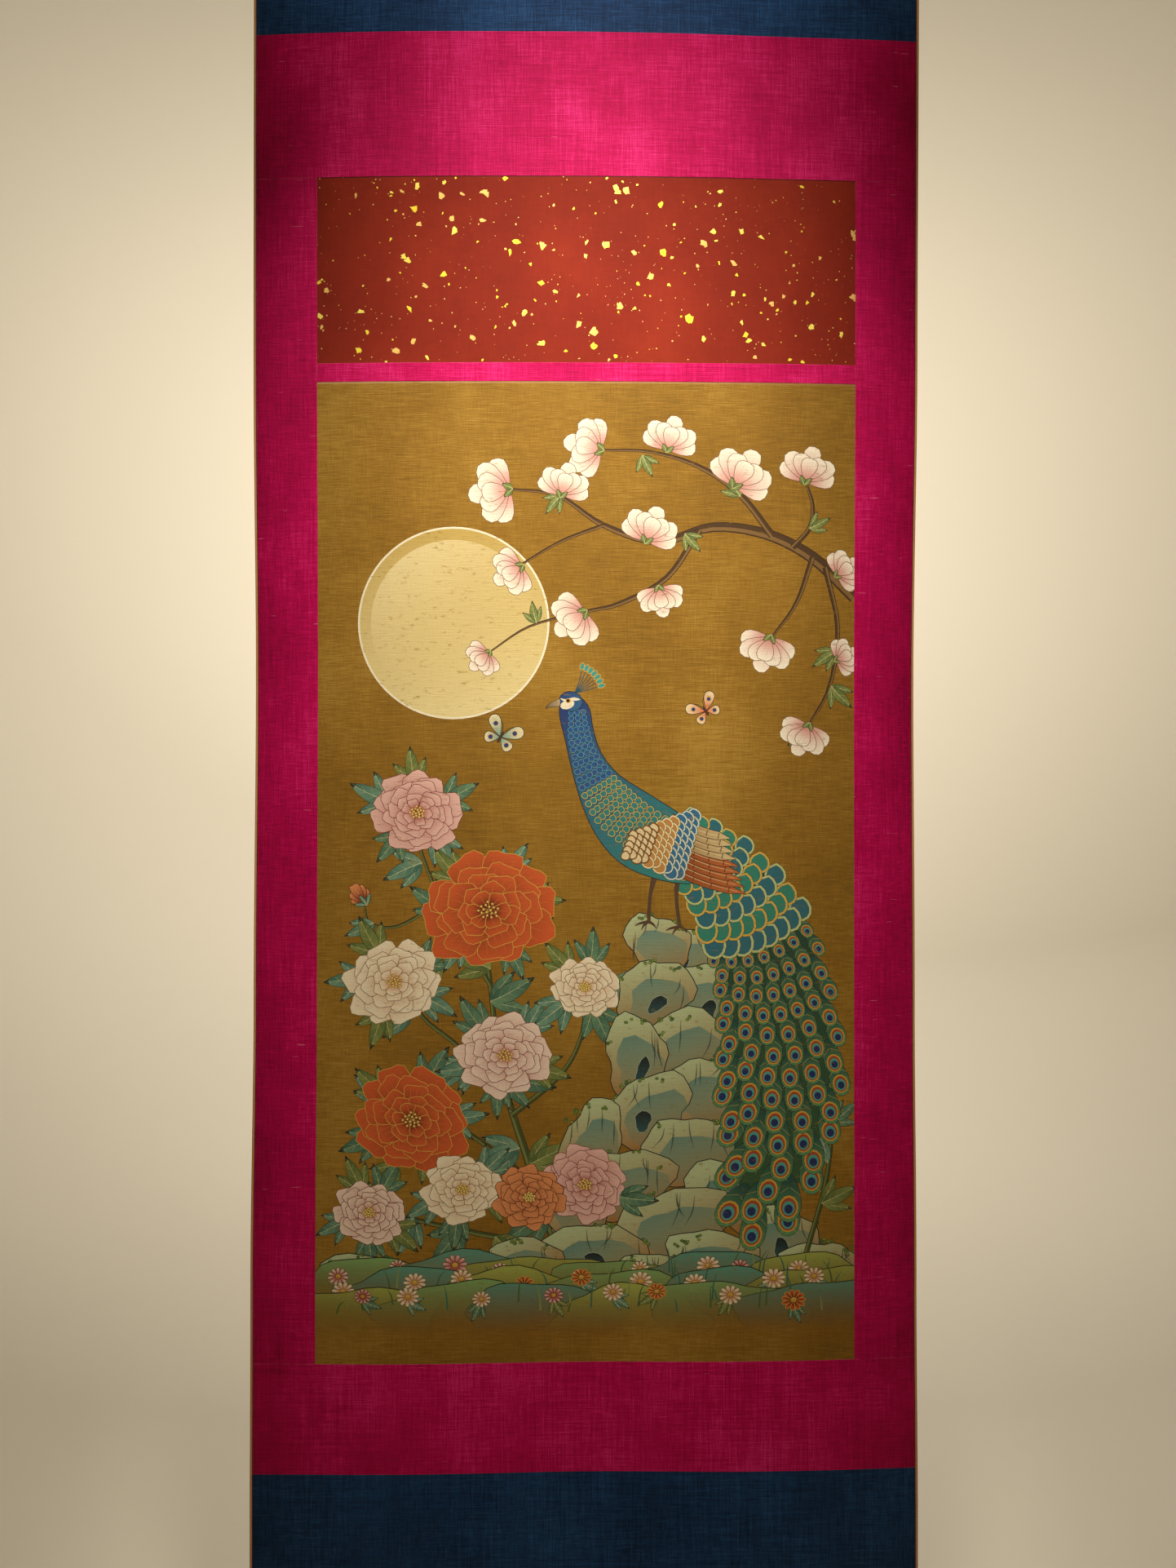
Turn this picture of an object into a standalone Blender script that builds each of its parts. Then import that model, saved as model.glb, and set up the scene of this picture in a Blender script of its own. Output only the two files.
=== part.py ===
"""Hanging scroll painting: a picture panel and an inscription panel in silk borders, hanging from its top edge.

Metres, +Z up. The origin is the middle of the top edge, the front faces -Y, and the cloth hangs down to -Z.
Every panel is a sheet that lies on one hung surface, which hung_point() works out.
"""

import math

import bmesh
import bpy
from mathutils import Vector

# The cut sizes
SCROLL_WIDTH = 0.8222
PANEL_WIDTH = 0.6632
EDGING_WIDTH = 0.0034
EDGING_THICKNESS = 0.0022
SHEET_THICKNESS = 0.0012
GAP = 0.0003

# The hem that finishes each end, turned to the back
HEM_DEPTH = 0.022
HEM_LAYER_GAP = 0.0005
HEM_TURN_STEPS = 6

# Height of each row of panels from the top down, and how far the seam under it
# drops from the left edge to the right one
ROWS = {
    "heaven": {"height": 0.4200, "seam_drop": 0.0042},
    "upper_band": {"height": 0.1760, "seam_drop": 0.0010},
    "inscription": {"height": 0.2275, "seam_drop": 0.0000},
    "middle_band": {"height": 0.0232, "seam_drop": 0.0008},
    "picture": {"height": 1.2028, "seam_drop": 0.0003},
    "lower_band": {"height": 0.1349, "seam_drop": 0.0012},
    "earth": {"height": 0.2800, "seam_drop": 0.0000},
}

# How far each long edge curls back towards the wall, by the distance below the top edge
EDGE_CURL = (
    {"down": 0.00, "left": 0.0120, "right": 0.0060},
    {"down": 0.35, "left": 0.0198, "right": 0.0102},
    {"down": 0.81, "left": 0.0188, "right": 0.0142},
    {"down": 1.21, "left": 0.0295, "right": 0.0267},
    {"down": 1.61, "left": 0.0200, "right": 0.0207},
    {"down": 1.96, "left": 0.0040, "right": 0.0131},
    {"down": 2.27, "left": 0.0004, "right": 0.0055},
    {"down": 2.47, "left": 0.0004, "right": 0.0040},
)
LEFT_CURL_POWER = 2.33
RIGHT_CURL_POWER = 4.47

# Soft folds: a swelling of the cloth, towards the front where push is positive
SOFT_FOLDS = (
    {"across": 0.05, "down": 0.44, "half_width": 0.13, "half_height": 0.30, "push": 0.0022},
    {"across": 0.27, "down": 0.40, "half_width": 0.09, "half_height": 0.26, "push": -0.0030},
    {"across": -0.22, "down": 0.30, "half_width": 0.12, "half_height": 0.24, "push": 0.0012},
    {"across": -0.16, "down": 1.02, "half_width": 0.15, "half_height": 0.28, "push": -0.0016},
    {"across": 0.14, "down": 1.36, "half_width": 0.13, "half_height": 0.34, "push": 0.0018},
    {"across": -0.23, "down": 2.18, "half_width": 0.11, "half_height": 0.36, "push": 0.0032},
    {"across": 0.00, "down": 2.12, "half_width": 0.09, "half_height": 0.40, "push": -0.0030},
    {"across": 0.21, "down": 2.16, "half_width": 0.10, "half_height": 0.30, "push": 0.0018},
)

# How finely the sheets are divided
CELL_WIDTH = 0.036
CELL_HEIGHT = 0.052
EDGING_CELL = 0.060
EDGING_SIDES = 8
ACROSS_STEPS = 16

# Linear colours and finishes, by slot
FINISHES = {
    "indigo_silk": {"colour": (0.0116, 0.0319, 0.0802), "roughness": 0.75},
    "magenta_silk": {"colour": (0.4340, 0.0080, 0.0650), "roughness": 0.70},
    "flecked_paper": {"colour": (0.3050, 0.0262, 0.0130), "roughness": 0.80},
    "painted_silk": {"colour": (0.2050, 0.1070, 0.0180), "roughness": 0.75},
    "edging_silk": {"colour": (0.4020, 0.1880, 0.0908), "roughness": 0.65},
}

HALF_WIDTH = SCROLL_WIDTH / 2
SILK_HALF = HALF_WIDTH - EDGING_WIDTH - GAP
PANEL_HALF = PANEL_WIDTH / 2


def curl_at(down, side):
    """The setback of one long edge at a distance below the top, read smoothly from EDGE_CURL."""
    for above, below in zip(EDGE_CURL, EDGE_CURL[1:]):
        if down <= below["down"] or below is EDGE_CURL[-1]:
            t = (down - above["down"]) / (below["down"] - above["down"])
            t = min(max(t, 0.0), 1.0)
            ease = t * t * (3 - 2 * t)
            return above[side] + (below[side] - above[side]) * ease


def setback(across, down):
    """How far the cloth lies behind the plane y = 0."""
    reach = across / HALF_WIDTH
    if reach < 0:
        back = curl_at(down, "left") * (-reach) ** LEFT_CURL_POWER
    else:
        back = curl_at(down, "right") * reach**RIGHT_CURL_POWER
    for fold in SOFT_FOLDS:
        u = (across - fold["across"]) / fold["half_width"]
        v = (down - fold["down"]) / fold["half_height"]
        back -= fold["push"] * math.exp(-u * u - v * v)
    return back


def hung_point(across, down):
    """A point of the hung surface, by its place on the flat cloth: across from the middle, down from the top."""
    step = across / ACROSS_STEPS
    x, back = 0.0, setback(0.0, down)
    for i in range(ACROSS_STEPS):
        ahead = setback(step * (i + 1), down)
        x += math.copysign(math.sqrt(step * step - (ahead - back) ** 2), step)
        back = ahead
    return Vector((x, back, -down))


def surface_normal(across, down):
    """The direction out of the back of the cloth."""
    reach = 0.004
    along = hung_point(across + reach, down) - hung_point(across - reach, down)
    low = min(down + reach, total_height())
    high = max(down - reach, 0.0)
    fall = hung_point(across, low) - hung_point(across, high)
    return fall.cross(along).normalized()


def total_height():
    return sum(row["height"] for row in ROWS.values())


def seam_down(row_name, across):
    """How far below the top edge the seam under a row lies, at a place across."""
    level = 0.0
    for name, row in ROWS.items():
        level += row["height"]
        if name == row_name:
            return level + row["seam_drop"] * across / SCROLL_WIDTH


def new_material(slot):
    finish = FINISHES[slot]
    material = bpy.data.materials.new(slot)
    material.use_nodes = True
    shader = material.node_tree.nodes["Principled BSDF"]
    shader.inputs["Base Color"].default_value = (*finish["colour"], 1.0)
    shader.inputs["Roughness"].default_value = finish["roughness"]
    material.diffuse_color = (*finish["colour"], 1.0)
    return material


def new_object(name, bm, slot):
    """Turns a finished bmesh into an object of the scene."""
    bmesh.ops.recalc_face_normals(bm, faces=bm.faces)
    mesh = bpy.data.meshes.new(name)
    bm.to_mesh(mesh)
    bm.free()
    mesh.shade_smooth()
    mesh.set_sharp_from_angle(angle=math.radians(40))
    if slot not in bpy.data.materials:
        new_material(slot)
    mesh.materials.append(bpy.data.materials[slot])
    made = bpy.data.objects.new(name, mesh)
    bpy.context.scene.collection.objects.link(made)
    return made


def new_sheet(name, slot, left, right, top, bottom, hem=None):
    """A sheet on the hung surface between two places across, and from top(across) to bottom(across).

    hem is "top" or "bottom" where that end is turned to the back.
    """
    columns = max(2, round((right - left) / CELL_WIDTH))
    tall = bottom(0.0) - top(0.0)
    rows = max(1, round(tall / CELL_HEIGHT))
    turn_radius = (SHEET_THICKNESS + HEM_LAYER_GAP) / 2
    bm = bmesh.new()
    bmesh.ops.create_grid(bm, x_segments=columns, y_segments=rows, size=0.5)
    for vert in bm.verts:
        across = left + (right - left) * (vert.co.x + 0.5)
        start = top(across) + (turn_radius + SHEET_THICKNESS / 2 if hem == "top" else 0.0)
        end = bottom(across) - (turn_radius + SHEET_THICKNESS / 2 if hem == "bottom" else 0.0)
        vert.co = hung_point(across, start + (end - start) * (0.5 - vert.co.y))
    if hem:
        turn_hem(bm, 1 if hem == "top" else -1, turn_radius)
    made = new_object(name, bm, slot)
    solid = made.modifiers.new("thickness", "SOLIDIFY")
    solid.thickness = SHEET_THICKNESS
    solid.offset = 0.0
    solid.use_even_offset = True
    return made


def turn_hem(bm, upward, radius):
    """Carries the sheet on past its end edge: half a turn to the back, then HEM_DEPTH of a second layer."""
    level = max(upward * vert.co.z for vert in bm.verts)
    edge = [e for e in bm.edges if all(upward * v.co.z > level - 1e-6 for v in e.verts)]
    moves = []
    for step in range(1, HEM_TURN_STEPS + 1):
        before = math.pi * (step - 1) / HEM_TURN_STEPS
        after = math.pi * step / HEM_TURN_STEPS
        back = radius * (math.cos(before) - math.cos(after))
        rise = radius * (math.sin(after) - math.sin(before))
        moves.append(Vector((0.0, back, upward * rise)))
    moves.append(Vector((0.0, 0.0, -upward * HEM_DEPTH)))
    for move in moves:
        made = bmesh.ops.extrude_edge_only(bm, edges=edge)["geom"]
        verts = [item for item in made if isinstance(item, bmesh.types.BMVert)]
        edge = [item for item in made if isinstance(item, bmesh.types.BMEdge)]
        bmesh.ops.translate(bm, verts=verts, vec=move)


def new_edging(name, side):
    """The narrow rounded strip along one long edge, the whole height of the scroll. side is -1 or 1."""
    middle = side * (HALF_WIDTH - EDGING_WIDTH / 2)
    steps = round(total_height() / EDGING_CELL)
    bm = bmesh.new()
    rings = []
    for i in range(steps + 1):
        down = total_height() * i / steps
        back = surface_normal(middle, down)
        along = Vector((0.0, 0.0, 1.0)).cross(back).normalized()
        centre = hung_point(middle, down)
        ring = []
        for k in range(EDGING_SIDES):
            angle = 2 * math.pi * (k + 0.5) / EDGING_SIDES
            # A squared circle, so that the flat side faces the silk
            u = math.copysign(abs(math.cos(angle)) ** 0.6, math.cos(angle)) * EDGING_WIDTH / 2
            v = math.copysign(abs(math.sin(angle)) ** 0.6, math.sin(angle)) * EDGING_THICKNESS / 2
            ring.append(bm.verts.new(centre + along * u + back * v))
        rings.append(ring)
    for upper, lower in zip(rings, rings[1:]):
        for k in range(EDGING_SIDES):
            after = (k + 1) % EDGING_SIDES
            bm.faces.new((upper[k], upper[after], lower[after], lower[k]))
    bm.faces.new(rings[0])
    bm.faces.new(rings[-1])
    return new_object(name, bm, "edging_silk")


def under(row_name):
    """The top line of what lies under a row, half a gap below the seam."""
    return lambda across: seam_down(row_name, across) + GAP / 2


def over(row_name):
    """The bottom line of a row, half a gap above the seam."""
    return lambda across: seam_down(row_name, across) - GAP / 2


def build_scroll():
    full = (-SILK_HALF, SILK_HALF)
    panel = (-PANEL_HALF + GAP / 2, PANEL_HALF - GAP / 2)
    new_sheet("heaven_panel", "indigo_silk", *full, lambda across: 0.0, over("heaven"), hem="top")
    new_sheet("upper_band", "magenta_silk", *full, under("heaven"), over("upper_band"))
    new_sheet("inscription_panel", "flecked_paper", *panel, under("upper_band"), over("inscription"))
    new_sheet("middle_band", "magenta_silk", *panel, under("inscription"), over("middle_band"))
    new_sheet("picture_panel", "painted_silk", *panel, under("middle_band"), over("picture"))
    for name, side in (("left_border", -1), ("right_border", 1)):
        ends = sorted((side * (PANEL_HALF + GAP / 2), side * SILK_HALF))
        new_sheet(name, "magenta_silk", *ends, under("upper_band"), over("picture"))
    new_sheet("lower_band", "magenta_silk", *full, under("picture"), over("lower_band"))
    new_sheet("earth_panel", "indigo_silk", *full, under("lower_band"), over("earth"), hem="bottom")
    new_edging("left_edging", -1)
    new_edging("right_edging", 1)


for old in list(bpy.data.objects):
    bpy.data.objects.remove(old)
build_scroll()
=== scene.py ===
import math
import random

import bpy
import numpy as np
from mathutils import Matrix, Vector
from mathutils.bvhtree import BVHTree
from mathutils.geometry import delaunay_2d_cdt


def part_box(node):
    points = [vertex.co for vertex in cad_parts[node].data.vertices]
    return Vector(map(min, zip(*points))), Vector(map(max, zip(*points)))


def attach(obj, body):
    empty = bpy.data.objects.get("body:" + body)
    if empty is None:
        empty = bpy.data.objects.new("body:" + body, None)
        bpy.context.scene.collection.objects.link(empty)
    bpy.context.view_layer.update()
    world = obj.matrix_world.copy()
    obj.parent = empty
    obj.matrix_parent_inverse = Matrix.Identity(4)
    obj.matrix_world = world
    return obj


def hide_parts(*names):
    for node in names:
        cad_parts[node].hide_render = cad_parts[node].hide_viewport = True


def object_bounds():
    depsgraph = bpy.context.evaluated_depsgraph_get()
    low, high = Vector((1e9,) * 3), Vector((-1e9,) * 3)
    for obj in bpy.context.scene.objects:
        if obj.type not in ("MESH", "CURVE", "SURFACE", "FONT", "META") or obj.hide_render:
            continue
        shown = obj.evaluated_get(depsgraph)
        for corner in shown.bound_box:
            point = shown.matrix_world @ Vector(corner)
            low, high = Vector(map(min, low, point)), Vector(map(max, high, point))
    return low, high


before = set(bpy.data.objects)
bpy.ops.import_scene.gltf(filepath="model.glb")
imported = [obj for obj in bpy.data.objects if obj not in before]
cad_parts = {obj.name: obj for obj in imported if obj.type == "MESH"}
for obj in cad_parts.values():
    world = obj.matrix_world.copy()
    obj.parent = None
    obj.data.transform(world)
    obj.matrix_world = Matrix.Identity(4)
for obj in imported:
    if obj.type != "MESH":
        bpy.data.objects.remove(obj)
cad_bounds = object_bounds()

# The photograph's camera, worked out from the seams and edges: pixels, metres and radians
PHOTO_HEIGHT = 1922
FOCAL_PIXELS = 1800
CAMERA_PLACE = (-0.0343, -1.800, -1.3355)
CAMERA_TURN, CAMERA_DIP, CAMERA_ROLL = 0.0201, 0.0024, 0.0008
SENSOR_HEIGHT = 36

# The cloth, in metres
SHEET_THICKNESS = 0.0009
SILK_PROUD = 0.0003
HEM_DEPTH = 0.0210
HEM_RADIUS = 0.0006

# The cells of the sheets' meshes, their rounded edges and the painted highlight along them, in millimetres
FRONT_CELL = 7.5
PAINTED_CELL = 13
BACK_CELL = 16.0
EDGE_ROUND = 0.35
EDGE_LINE = 1.1

# The bindings of the long edges, in metres
BINDING_SIDES = 14
BINDING_PITCH = 0.012
BINDING_GAP = 0.0001
BINDING_HALF_DEPTH = 0.00115
BINDING_MIDDLE = 0.0004

# How far the studio's floor is from the scroll's top edge, in metres
FLOOR_LEVEL = -3.15

SHEETS = (
    "heaven_panel", "upper_band", "inscription_panel", "middle_band", "picture_panel",
    "left_border", "right_border", "lower_band", "earth_panel",
)


def linear(code):
    """The linear colour of an sRGB hex code."""
    channels = np.array([int(code[i : i + 2], 16) / 255 for i in (0, 2, 4)])
    return np.where(channels <= 0.04045, channels / 12.92, ((channels + 0.055) / 1.055) ** 2.4)


# The hung surface


class HungCloth:
    """The front of the solid sheets as one smooth surface, read by place on the flat cloth.

    across is measured along the cloth from the middle, and down from the top edge.
    """

    REACH = 0.4150
    READ_TO = 0.4050
    END_MARGIN = 0.004
    PITCH_ACROSS = 0.0135
    PITCH_DOWN = 0.0205
    SIDESTEP = 0.0008
    COCKLE = 0.00016

    def __init__(self):
        self.height = -cad_bounds[0].z
        tree = self.solid_fronts()
        x = np.linspace(-self.READ_TO, self.READ_TO, 2 * round(self.READ_TO / self.PITCH_ACROSS) + 1)
        pitch = x[1] - x[0]
        ends = self.END_MARGIN, self.height - self.END_MARGIN
        self.downs = np.linspace(*ends, round(self.height / self.PITCH_DOWN))
        self.acrosses = np.linspace(-self.REACH, self.REACH, len(x) + 2)
        rows = []
        for down in self.downs:
            depth = np.array([self.front_at(tree, v, -down) for v in x])
            depth = np.r_[2 * depth[0] - depth[1], depth, 2 * depth[-1] - depth[-2]]
            wide = np.r_[x[0] - pitch, x, x[-1] + pitch]
            length = np.r_[0, np.cumsum(np.hypot(np.diff(wide), np.diff(depth)))]
            length -= np.interp(0.0, wide, length)
            rows.append([np.interp(self.acrosses, length, values) for values in (wide, depth)])
        self.x, self.y = np.array(rows).transpose(1, 0, 2)

    @staticmethod
    def solid_fronts():
        verts, faces = [], []
        for name in SHEETS:
            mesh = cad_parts[name].data
            start = len(verts)
            verts += [v.co.copy() for v in mesh.vertices]
            faces += [[start + i for i in polygon.vertices] for polygon in mesh.polygons]
        return BVHTree.FromPolygons(verts, faces)

    @classmethod
    def front_at(cls, tree, x, z):
        """The depth of the solids' front. A ray that falls in a seam's gap is moved a little."""
        for lift in (0.0, cls.SIDESTEP, -cls.SIDESTEP):
            for slide in (0.0, cls.SIDESTEP, -cls.SIDESTEP):
                hit = tree.ray_cast(Vector((x + slide, -1.0, z + lift)), Vector((0.0, 1.0, 0.0)))[0]
                if hit:
                    return hit.y
        raise ValueError(f"the solids have no front at x {x:.3f}, z {z:.3f}")

    def read(self, grid, across, down):
        """Reads a grid smoothly between its points."""
        u = (across - self.acrosses[0]) / (self.acrosses[1] - self.acrosses[0])
        v = (down - self.downs[0]) / (self.downs[1] - self.downs[0])
        i = np.clip(np.floor(u).astype(int), 1, len(self.acrosses) - 3)
        j = np.clip(np.floor(v).astype(int), 1, len(self.downs) - 3)
        wide, tall = spline_weights(u - i), spline_weights(v - j)
        return sum(wide[a] * tall[b] * grid[j + b - 1, i + a - 1] for a in range(4) for b in range(4))

    def surface(self, across, down):
        """Points on the front surface, with the slight cockle that pasted silk dries to."""
        wave = np.sin(31 * across + 9 * down + 1.3) * np.sin(17 * down - 12 * across)
        ripple = np.sin(67 * across - 23 * down) * np.sin(41 * down + 5 * across + 0.7)
        y = self.read(self.y, across, down) + self.COCKLE * (wave + 0.6 * ripple)
        return np.stack([self.read(self.x, across, down), y, -down], 1)

    def across_of(self, x, down):
        """Where on the flat cloth a place across the hung one is."""
        line = self.read(self.x, self.acrosses, np.full(len(self.acrosses), down))
        return float(np.interp(x, line, self.acrosses))

    def directions(self, across, down):
        """The direction along the cloth and the one to its back, at each point."""
        step = 0.002
        along = self.surface(across + step, down) - self.surface(across - step, down)
        along /= np.linalg.norm(along, axis=1)[:, None]
        return along, np.stack([-along[:, 1], along[:, 0], np.zeros(len(along))], 1)

    def place(self, across, down, back):
        """Points back metres behind the cloth's front. Past either end the cloth turns round its hem."""
        fold = HEM_RADIUS + SHEET_THICKNESS
        at = np.clip(down, fold, self.height - fold)
        beyond = np.abs(down - at)
        way = np.where(down < at, 1.0, -1.0)
        radius = HEM_RADIUS + SHEET_THICKNESS / 2
        turned = np.clip(beyond / radius, 0, math.pi)
        straight = np.clip(beyond - math.pi * radius, 0, None)
        # From the middle of the cloth's thickness, which turns about the fold's axis
        through = back - SHEET_THICKNESS / 2
        behind = SHEET_THICKNESS / 2 + radius * (1 - np.cos(turned)) + through * np.cos(turned)
        points = self.surface(across, at) + self.directions(across, at)[1] * behind[:, None]
        points[:, 2] += way * (radius * np.sin(turned) - straight - through * np.sin(turned))
        return points


def spline_weights(t):
    """The shares of four points in a row in a smooth line, t of the way from the second to the third."""
    return (
        0.5 * (-t + 2 * t**2 - t**3),
        0.5 * (2 - 5 * t**2 + 3 * t**3),
        0.5 * (t + 4 * t**2 - 3 * t**3),
        0.5 * (-(t**2) + t**3),
    )


cloth = HungCloth()


def seam(upper, lower):
    """How far down the seam between two nodes is, by place across. It is straight from edge to edge."""
    left, right = -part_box(lower)[1].z, -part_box(upper)[0].z
    return lambda across: (left + right) / 2 + (right - left) / 2 * across / cad_bounds[1].x


def level(down):
    return lambda across: down + 0.0 * across


def side_of(node, side):
    """Where on the flat cloth a node's side edge is, read where the node is widest."""
    edge = max(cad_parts[node].data.vertices, key=lambda v: side * v.co.x)
    return cloth.across_of(edge.co.x, -edge.co.z)


SILK_LEFT, SILK_RIGHT = side_of("earth_panel", -1), side_of("earth_panel", 1)
PANEL_LEFT, PANEL_RIGHT = side_of("picture_panel", -1), side_of("picture_panel", 1)
OUTER_LEFT, OUTER_RIGHT = side_of("left_edging", -1), side_of("right_edging", 1)
HEM_TURN = HEM_DEPTH + math.pi * HEM_RADIUS
TOP, BOTTOM = level(-HEM_TURN), level(cloth.height + HEM_TURN)
UNDER_HEAVEN = seam("heaven_panel", "upper_band")
UNDER_UPPER = seam("upper_band", "left_border")
UNDER_INSCRIPTION = seam("inscription_panel", "middle_band")
UNDER_MIDDLE = seam("middle_band", "picture_panel")
UNDER_PICTURE = seam("left_border", "lower_band")
UNDER_LOWER = seam("lower_band", "earth_panel")


class Panel:
    """A cut of silk or paper in its place. Its own coordinates are millimetres from its top left corner."""

    def __init__(self, name, node, slot, left, right, top, bottom, proud=0.0):
        self.name, self.node, self.slot = name, node, slot
        self.left, self.right, self.top, self.bottom = left, right, top, bottom
        self.proud = proud
        middle = (left + right) / 2
        # Whole millimetres, so that the outline stays exactly straight while it is cut up
        self.size = np.array([round(1000 * (right - left)), round(1000 * (bottom(middle) - top(middle)))])

    def spot(self, points):
        """Places on the flat cloth, across and down."""
        share = points / self.size
        across = self.left + (self.right - self.left) * share[:, 0]
        return across, self.top(across) * (1 - share[:, 1]) + self.bottom(across) * share[:, 1]


def full_width(name, node, slot, top, bottom, proud=0.0):
    return Panel(name, node, slot, SILK_LEFT, SILK_RIGHT, top, bottom, proud)


def inner(name, node, slot, top, bottom, proud=0.0):
    return Panel(name, node, slot, PANEL_LEFT, PANEL_RIGHT, top, bottom, proud)


def beside(name, node, left, right):
    return Panel(name, node, "magenta_silk", left, right, UNDER_UPPER, UNDER_PICTURE, SILK_PROUD)


INSCRIPTION = inner(
    "inscription_paper", "inscription_panel", "flecked_paper", UNDER_UPPER, UNDER_INSCRIPTION,
)
PICTURE = inner("picture_silk", "picture_panel", "painted_silk", UNDER_MIDDLE, UNDER_PICTURE)
PANELS = (
    full_width("heaven_silk", "heaven_panel", "indigo_silk", TOP, UNDER_HEAVEN),
    full_width("upper_band_silk", "upper_band", "magenta_silk", UNDER_HEAVEN, UNDER_UPPER, SILK_PROUD),
    INSCRIPTION,
    inner("middle_band_silk", "middle_band", "magenta_silk", UNDER_INSCRIPTION, UNDER_MIDDLE, SILK_PROUD),
    PICTURE,
    beside("left_border_silk", "left_border", SILK_LEFT, PANEL_LEFT),
    beside("right_border_silk", "right_border", PANEL_RIGHT, SILK_RIGHT),
    full_width("lower_band_silk", "lower_band", "magenta_silk", UNDER_PICTURE, UNDER_LOWER, SILK_PROUD),
    full_width("earth_silk", "earth_panel", "indigo_silk", UNDER_LOWER, BOTTOM),
)


# Sheets


def lines(length):
    """Where a plain panel's mesh lines run, closer at both ends where the edge is rounded and carries a
    painted highlight.
    """
    near = np.array([0.0, 0.3 * EDGE_ROUND, EDGE_ROUND])
    cells = max(1, round((length - 2 * EDGE_LINE) / FRONT_CELL))
    inside = np.linspace(EDGE_LINE, length - EDGE_LINE, cells + 1)
    return np.r_[near, inside, length - near[::-1]]


def plain_front(size):
    """The points and faces of a panel with nothing painted on it."""
    x, y = (lines(length) for length in size)
    points = np.stack(np.meshgrid(x, y), -1).reshape(-1, 2)
    index = np.arange(len(points)).reshape(len(y), len(x))
    corners = index[:-1, :-1], index[1:, :-1], index[1:, 1:], index[:-1, 1:]
    return points, np.stack(corners, -1).reshape(-1, 4)


def ring_of(points, size):
    """The indices of the points on the outline: down the left, along the bottom, up the right and back."""
    x, y = points.T
    sides = ((x == 0, y), (y == size[1], x), (x == size[0], -y), (y == 0, -x))
    ring = []
    for on_side, order in sides:
        indices = np.flatnonzero(on_side)
        ring += list(indices[np.argsort(order[indices])][:-1])
    return ring


def plain_back(rim, size):
    """The points and triangles of a panel's back. Those of its rim, which is the front's, come first."""
    counts = np.maximum(1, np.round(size / BACK_CELL)).astype(int)
    x, y = (np.linspace(0, size[k], counts[k] + 1)[1:-1] for k in (0, 1))
    points = np.vstack([rim, np.stack(np.meshgrid(x, y), -1).reshape(-1, 2)])
    made = delaunay_2d_cdt([Vector(p) for p in points], [], [], 0, 1e-4, True)
    number = [sources[0] for sources in made[3]]
    return points, np.array([[number[i] for i in face] for face in made[2]])


def sheet_object(panel, points, faces, paint=None):
    """The closed thin sheet of a panel, from the mesh of its front.

    paint holds a colour for each corner of the front's faces.
    """
    ring = ring_of(points, panel.size)
    back, back_faces = plain_back(points[ring], panel.size)
    everywhere = np.vstack([points, back])
    count = len(points)
    near = np.minimum(points, panel.size - points).min(1)
    rounded = EDGE_ROUND if panel.proud else 0.0
    dip = np.clip(rounded - near, 0, rounded)
    sunk = (rounded - np.sqrt(rounded**2 - dip**2)) / 1000 - panel.proud
    depth = np.r_[sunk, np.full(len(back), SHEET_THICKNESS)]
    verts = cloth.place(*panel.spot(everywhere), depth)

    after = np.roll(np.arange(len(ring)), -1)
    walls = np.stack([ring, count + np.arange(len(ring)), count + after, np.array(ring)[after]], 1)
    mesh = bpy.data.meshes.new(panel.name)
    all_faces = faces.tolist() + walls.tolist() + (count + back_faces).tolist()
    mesh.from_pydata(verts.tolist(), [], all_faces)
    is_back = np.zeros(len(all_faces), int)
    is_back[-len(back_faces):] = 1
    mesh.polygons.foreach_set("material_index", is_back)

    # The map that finishes are baked to: the front, and the plain back in a strip under it
    corner = np.zeros(len(mesh.loops), int)
    mesh.loops.foreach_get("vertex_index", corner)
    place = everywhere / panel.size
    place[:, 1] = np.r_[1 - 0.9 * place[:count, 1], 0.09 * (1 - place[count:, 1])]
    layer = mesh.uv_layers.new(name="OFBake")
    layer.uv.foreach_set("vector", place[corner].astype(np.float32).ravel())

    # How much of the magenta silk's painted highlight each point gets: most at the sheet's edge, fading
    # within EDGE_LINE of it, and all over the back
    point_values(mesh, "edge", np.r_[np.clip(1 - near / EDGE_LINE, 0, 1), np.ones(len(back))])
    if paint is not None:
        colour = np.zeros((len(mesh.loops), 4), np.float32)
        colour[: faces.size] = paint.reshape(-1, 4)
        mesh.attributes.new("paint", "FLOAT_COLOR", "CORNER").data.foreach_set("color", colour.ravel())
    return shown(panel.name, mesh)


def point_values(mesh, name, values):
    mesh.attributes.new(name, "FLOAT", "POINT").data.foreach_set("value", values.astype(np.float32))


def shown(name, mesh, sharp=50):
    """Puts a mesh in the scene, smooth but for the edges that bend by more than sharp degrees."""
    mesh.shade_smooth()
    mesh.set_sharp_from_angle(angle=math.radians(sharp))
    made = bpy.data.objects.new(name, mesh)
    bpy.context.scene.collection.objects.link(made)
    return made


def tube(rings, sides):
    """The numbers of a tube's points, a row for each ring, and the faces of its wall."""
    index = np.arange(rings * sides).reshape(rings, sides)
    after = np.roll(index, -1, 1)
    walls = np.stack([index[:-1], after[:-1], after[1:], index[1:]], -1)
    return index, walls.reshape(-1, 4).tolist()


def flattened_wave(wave, power):
    """A sine or cosine that stays near its ends for longer, for a section squarer than a circle."""
    return np.sign(wave) * np.abs(wave) ** power


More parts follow.
